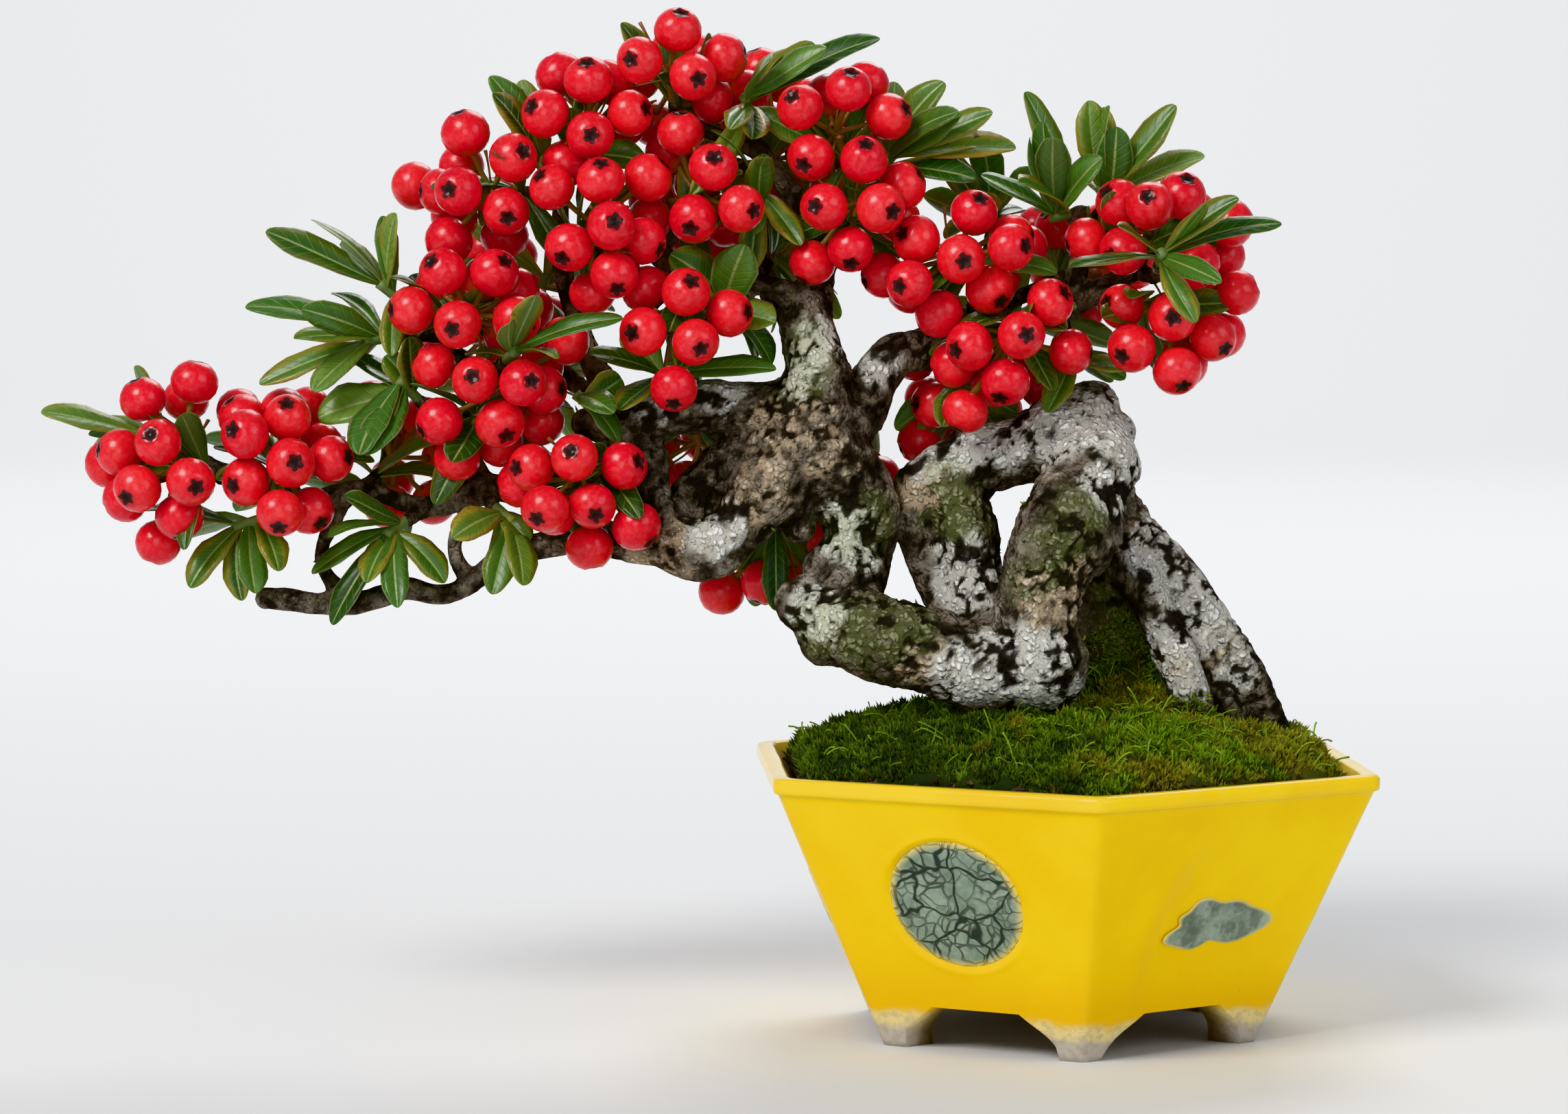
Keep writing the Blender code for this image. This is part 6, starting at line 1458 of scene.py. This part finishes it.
def leaf_bundle(leaves, random):
    """Closed blades from foot to tip: half the width times the root of sin(pi t^1.5), folded up and
    waved beside a grooved midrib, thicker at the foot, where the blade narrows to its stalk."""
    feet, tips, widths, faces_way, arches = (np.array(values) for values in zip(*leaves))
    widths, arches = widths[:, None, None], arches[:, None, None]
    t = LEAF_T[None, :, None]
    s = LEAF_S[None, None, :]
    on_top = np.arange(len(LEAF_S)) < 7
    run = tips - feet
    length = np.linalg.norm(run, axis=1)[:, None, None]
    ahead = run / length[:, 0]
    across = units(np.cross(ahead, faces_way))
    up = np.cross(across, ahead)
    shape = np.clip(np.sin(np.pi * t ** 1.5), 0, 1) ** 0.5
    vary = random.uniform(-1, 1, (6, len(leaves), 1, 1))
    half = 0.5 * widths * shape * (1 + 0.05 * np.sin(17 * t + 6 * vary[0]) * (np.abs(s) > 0.9))
    half = np.maximum(half, PETIOLE_HALF * smooth_step(1.0, 0.9, t))
    lift = arches * length * 4 * t * (1 - t) + 0.22 * half * np.abs(s)
    lift = lift + length * (0.035 * vary[1] * t ** 3 + 0.012 * np.sin(9 * t + 6 * vary[2]) * np.abs(s))
    lift = lift + 0.16 * half * s * vary[3] * t
    thick = (LEAF_THICKNESS + 0.5 * np.exp(-t / 0.07)) * (1 - 0.75 * np.abs(s) ** 3)
    thick = thick * smooth_step(1.06, 0.8, t)
    groove = np.where(np.abs(s) < 0.05, -0.10, np.where(np.abs(s) < 0.3, 0.05, 0.0))
    groove = groove * smooth_step(0.05, 0.2, t)
    lift = lift + np.where(on_top, 0.5 * thick + groove, -0.5 * thick)
    bend = 0.05 * length * vary[4] * np.sin(np.pi * t)
    ahead, across, up, feet = (way[:, None, None] for way in (ahead, across, up, feet))
    points = (feet + (t * length)[..., None] * ahead + (half * s + bend)[..., None] * across
              + lift[..., None] * up)
    for end in (0, -1):
        points[:, end] = points[:, end].mean(axis=1)[:, None]
    blade = np.stack(np.broadcast_arrays(t * np.ones_like(length), s, np.where(on_top, 1.0, 0.0)), axis=-1)
    faces = grid_faces(len(LEAF_T), len(LEAF_S), False, True)
    faces = copies(faces, len(leaves), len(LEAF_T) * len(LEAF_S))
    return points.reshape(-1, 3), faces, blade.reshape(-1, 3)


def extra_tries(foot, seat, ahead, width, length, owner, random, spread):
    """Leaves from a foot in random directions round a shoot's way, less wanted the lower they reach."""
    for _ in range(EXTRA_LEAF_TRIES):
        way = unit(ahead * random.uniform(0.1, 1.0) + random.normal(0, spread, 3))
        tip = foot + way * length * random.uniform(0.6, 1.0)
        face = unit(random.normal(0, 0.35, 3) + np.array([0, -0.5 if tip[1] < 5 else 0.5, 0.85]))
        leaf = (foot, tip, width * random.uniform(0.75, 1.05), face, random.uniform(0.02, 0.10))
        grid = blade_points(*leaf, 9, 3)[2:].reshape(-1, 3)
        yield thicket.gap(grid, EXTRA_ROOM, owner, seat) - 0.02 * max(0.0, 60.0 - tip[2]), leaf, grid


def more_leaves(count, room, hub, seat, ahead, *habit):
    """Seeded extra leaves round a hub: the clearest of some each time, if it has the room."""
    found = []
    for _ in range(count):
        back = random.uniform(0.1, 1.0)
        foot = hub - ahead * back * max(np.linalg.norm(hub - seat) - LEAF_FOOT_ROOM, 0.0)
        gap, leaf, grid = clearest(extra_tries(foot, seat, ahead, *habit))
        if gap > room:
            thicket.add(grid, EXTRA_ROOM, "extra_leaf")
            found.append(leaf)
    return found


def leaf_piece(name, leaves, hue, age, replaced=(), stems=()):
    """A piece of leaves, with a drawn hue and age to each, and of the stems that bear them."""
    hues = np.clip(random.normal(*hue, len(leaves)), 0, 1)
    ages = np.clip(random.normal(*age, len(leaves)), 0, 1)
    points, faces, blade = leaf_bundle(leaves, random)
    each = len(points) // len(leaves)
    points, faces = joined([(points, faces), *stems])
    rest = len(points) - len(blade)
    masks = {"blade": np.vstack([blade, np.tile([0.5, 0.4, 0.0], (rest, 1))])}
    for mask, values in (("hue", hues), ("age", ages)):
        masks[mask] = np.concatenate([np.repeat(values, each), np.full(rest, 0.6)])
    make_piece(name, points, faces, leaf_skin, replaced, masks, weld=2e-4)


leaf_skin, n, place, cloud = mottled_material(
    "leaf_skin", 230.0, 1700.0, 0.4, Coat_Weight=0.18, Coat_Roughness=0.25, IOR=1.45,
    Subsurface_Weight=0.10, Subsurface_Radius=(0.0006, 0.0012, 0.0003), Subsurface_Scale=1.0)
blade = n.mask("blade", "Vector")
along_leaf, off_rib, top_side = (n.part(blade, axis) for axis in "XYZ")
off_rib = n.math("ABSOLUTE", off_rib)
hue = n.mask("hue")
age = n.mask("age")
vein_phase = n.times(n.math("SUBTRACT", along_leaf, n.times(off_rib, 0.16)), 56.0)
veins = n.times(n.ramp(n.math("SINE", vein_phase), 0.80, 0.99), n.ramp(off_rib, 0.95, 0.75))
turned = n.ramp(n.math("ADD", off_rib, n.times(n.noise(place, 260.0), 0.9)), 0.75, 1.25)
margin = n.times(n.ramp(off_rib, 0.86, 0.97), n.ramp(n.noise(place, 140.0), 0.3, 0.6, 0.35, 0.9))
spots = n.times(n.ramp(n.noise(place, 420.0, 2.0), 0.66, 0.72), 0.8)
colour = n.paint(LEAF_DARK, (n.ramp(hue, 0.0, 0.55), LEAF_MID), (n.ramp(hue, 0.5, 1.0), LEAF_PALE),
                 (cloud["Mixed"], LEAF_DARK, 0.35), (veins, LEAF_PALE, 0.30),
                 (n.math("SUBTRACT", 1.0, top_side), (0.20, 0.29, 0.13), 0.55), (age, LEAF_AGED, turned),
                 (n.ramp(off_rib, 0.10, 0.03), (0.36, 0.42, 0.17), 0.75),
                 (margin, n.blend(age, (0.40, 0.42, 0.20), (0.58, 0.27, 0.07))),
                 (spots, (0.13, 0.05, 0.02), age))
relief = n.math("SUBTRACT", n.times(n.noise(place, 1200.0, 2.0), 0.4), veins)
n.finish(Base_Color=colour,
         Roughness=n.ramp(top_side, 0.0, 1.0, 0.62, 0.36),
         Normal=n.bump(relief, 0.00012, 0.7))

for number, (name, (limb, index, hub, width, tips)) in enumerate(SPRAYS.items()):
    entry = plan[name]
    random = np.random.default_rng(SEED + 600 + number)
    longest = max([np.linalg.norm(leaf[1] - leaf[0]) for leaf in entry["leaves"]] + [13.0])
    extra = more_leaves(EXTRA_LEAVES, -0.25, entry["hub"], entry["seat"], entry["ahead"], width,
                        longest * 0.85, name, random, 0.55)
    leaf_piece(name + "_green", entry["leaves"] + extra, (0.45, 0.24), (0.15, 0.35), (name,),
               [shoot_stem(entry, 0.6, 0.8, 0.15)])

# Rosettes.  A few smaller leaves stand round the foot of every bunch of berries. All of them get a
# darker green than the sprays: painted shade that fills the crown between the berries.
ROSETTE_LEAVES = 7
ROSETTE_WIDTH = 5.2
ROSETTE_LENGTH = 15.0
rosettes = []
random = np.random.default_rng(SEED + 900)
for name in BUNCHES:
    seat, ahead = plan[name]["seat"], plan[name]["ahead"]
    rosettes += more_leaves(ROSETTE_LEAVES, -0.3, seat, seat - ahead * 2.0, ahead, ROSETTE_WIDTH,
                            ROSETTE_LENGTH, name, random, 0.9)
# hue (0.16, 0.2) against 0.45 for the sprays: darker leaves as painted shade inside the crown
leaf_piece("rosette_leaves", rosettes, (0.16, 0.2), (0.1, 0.3))
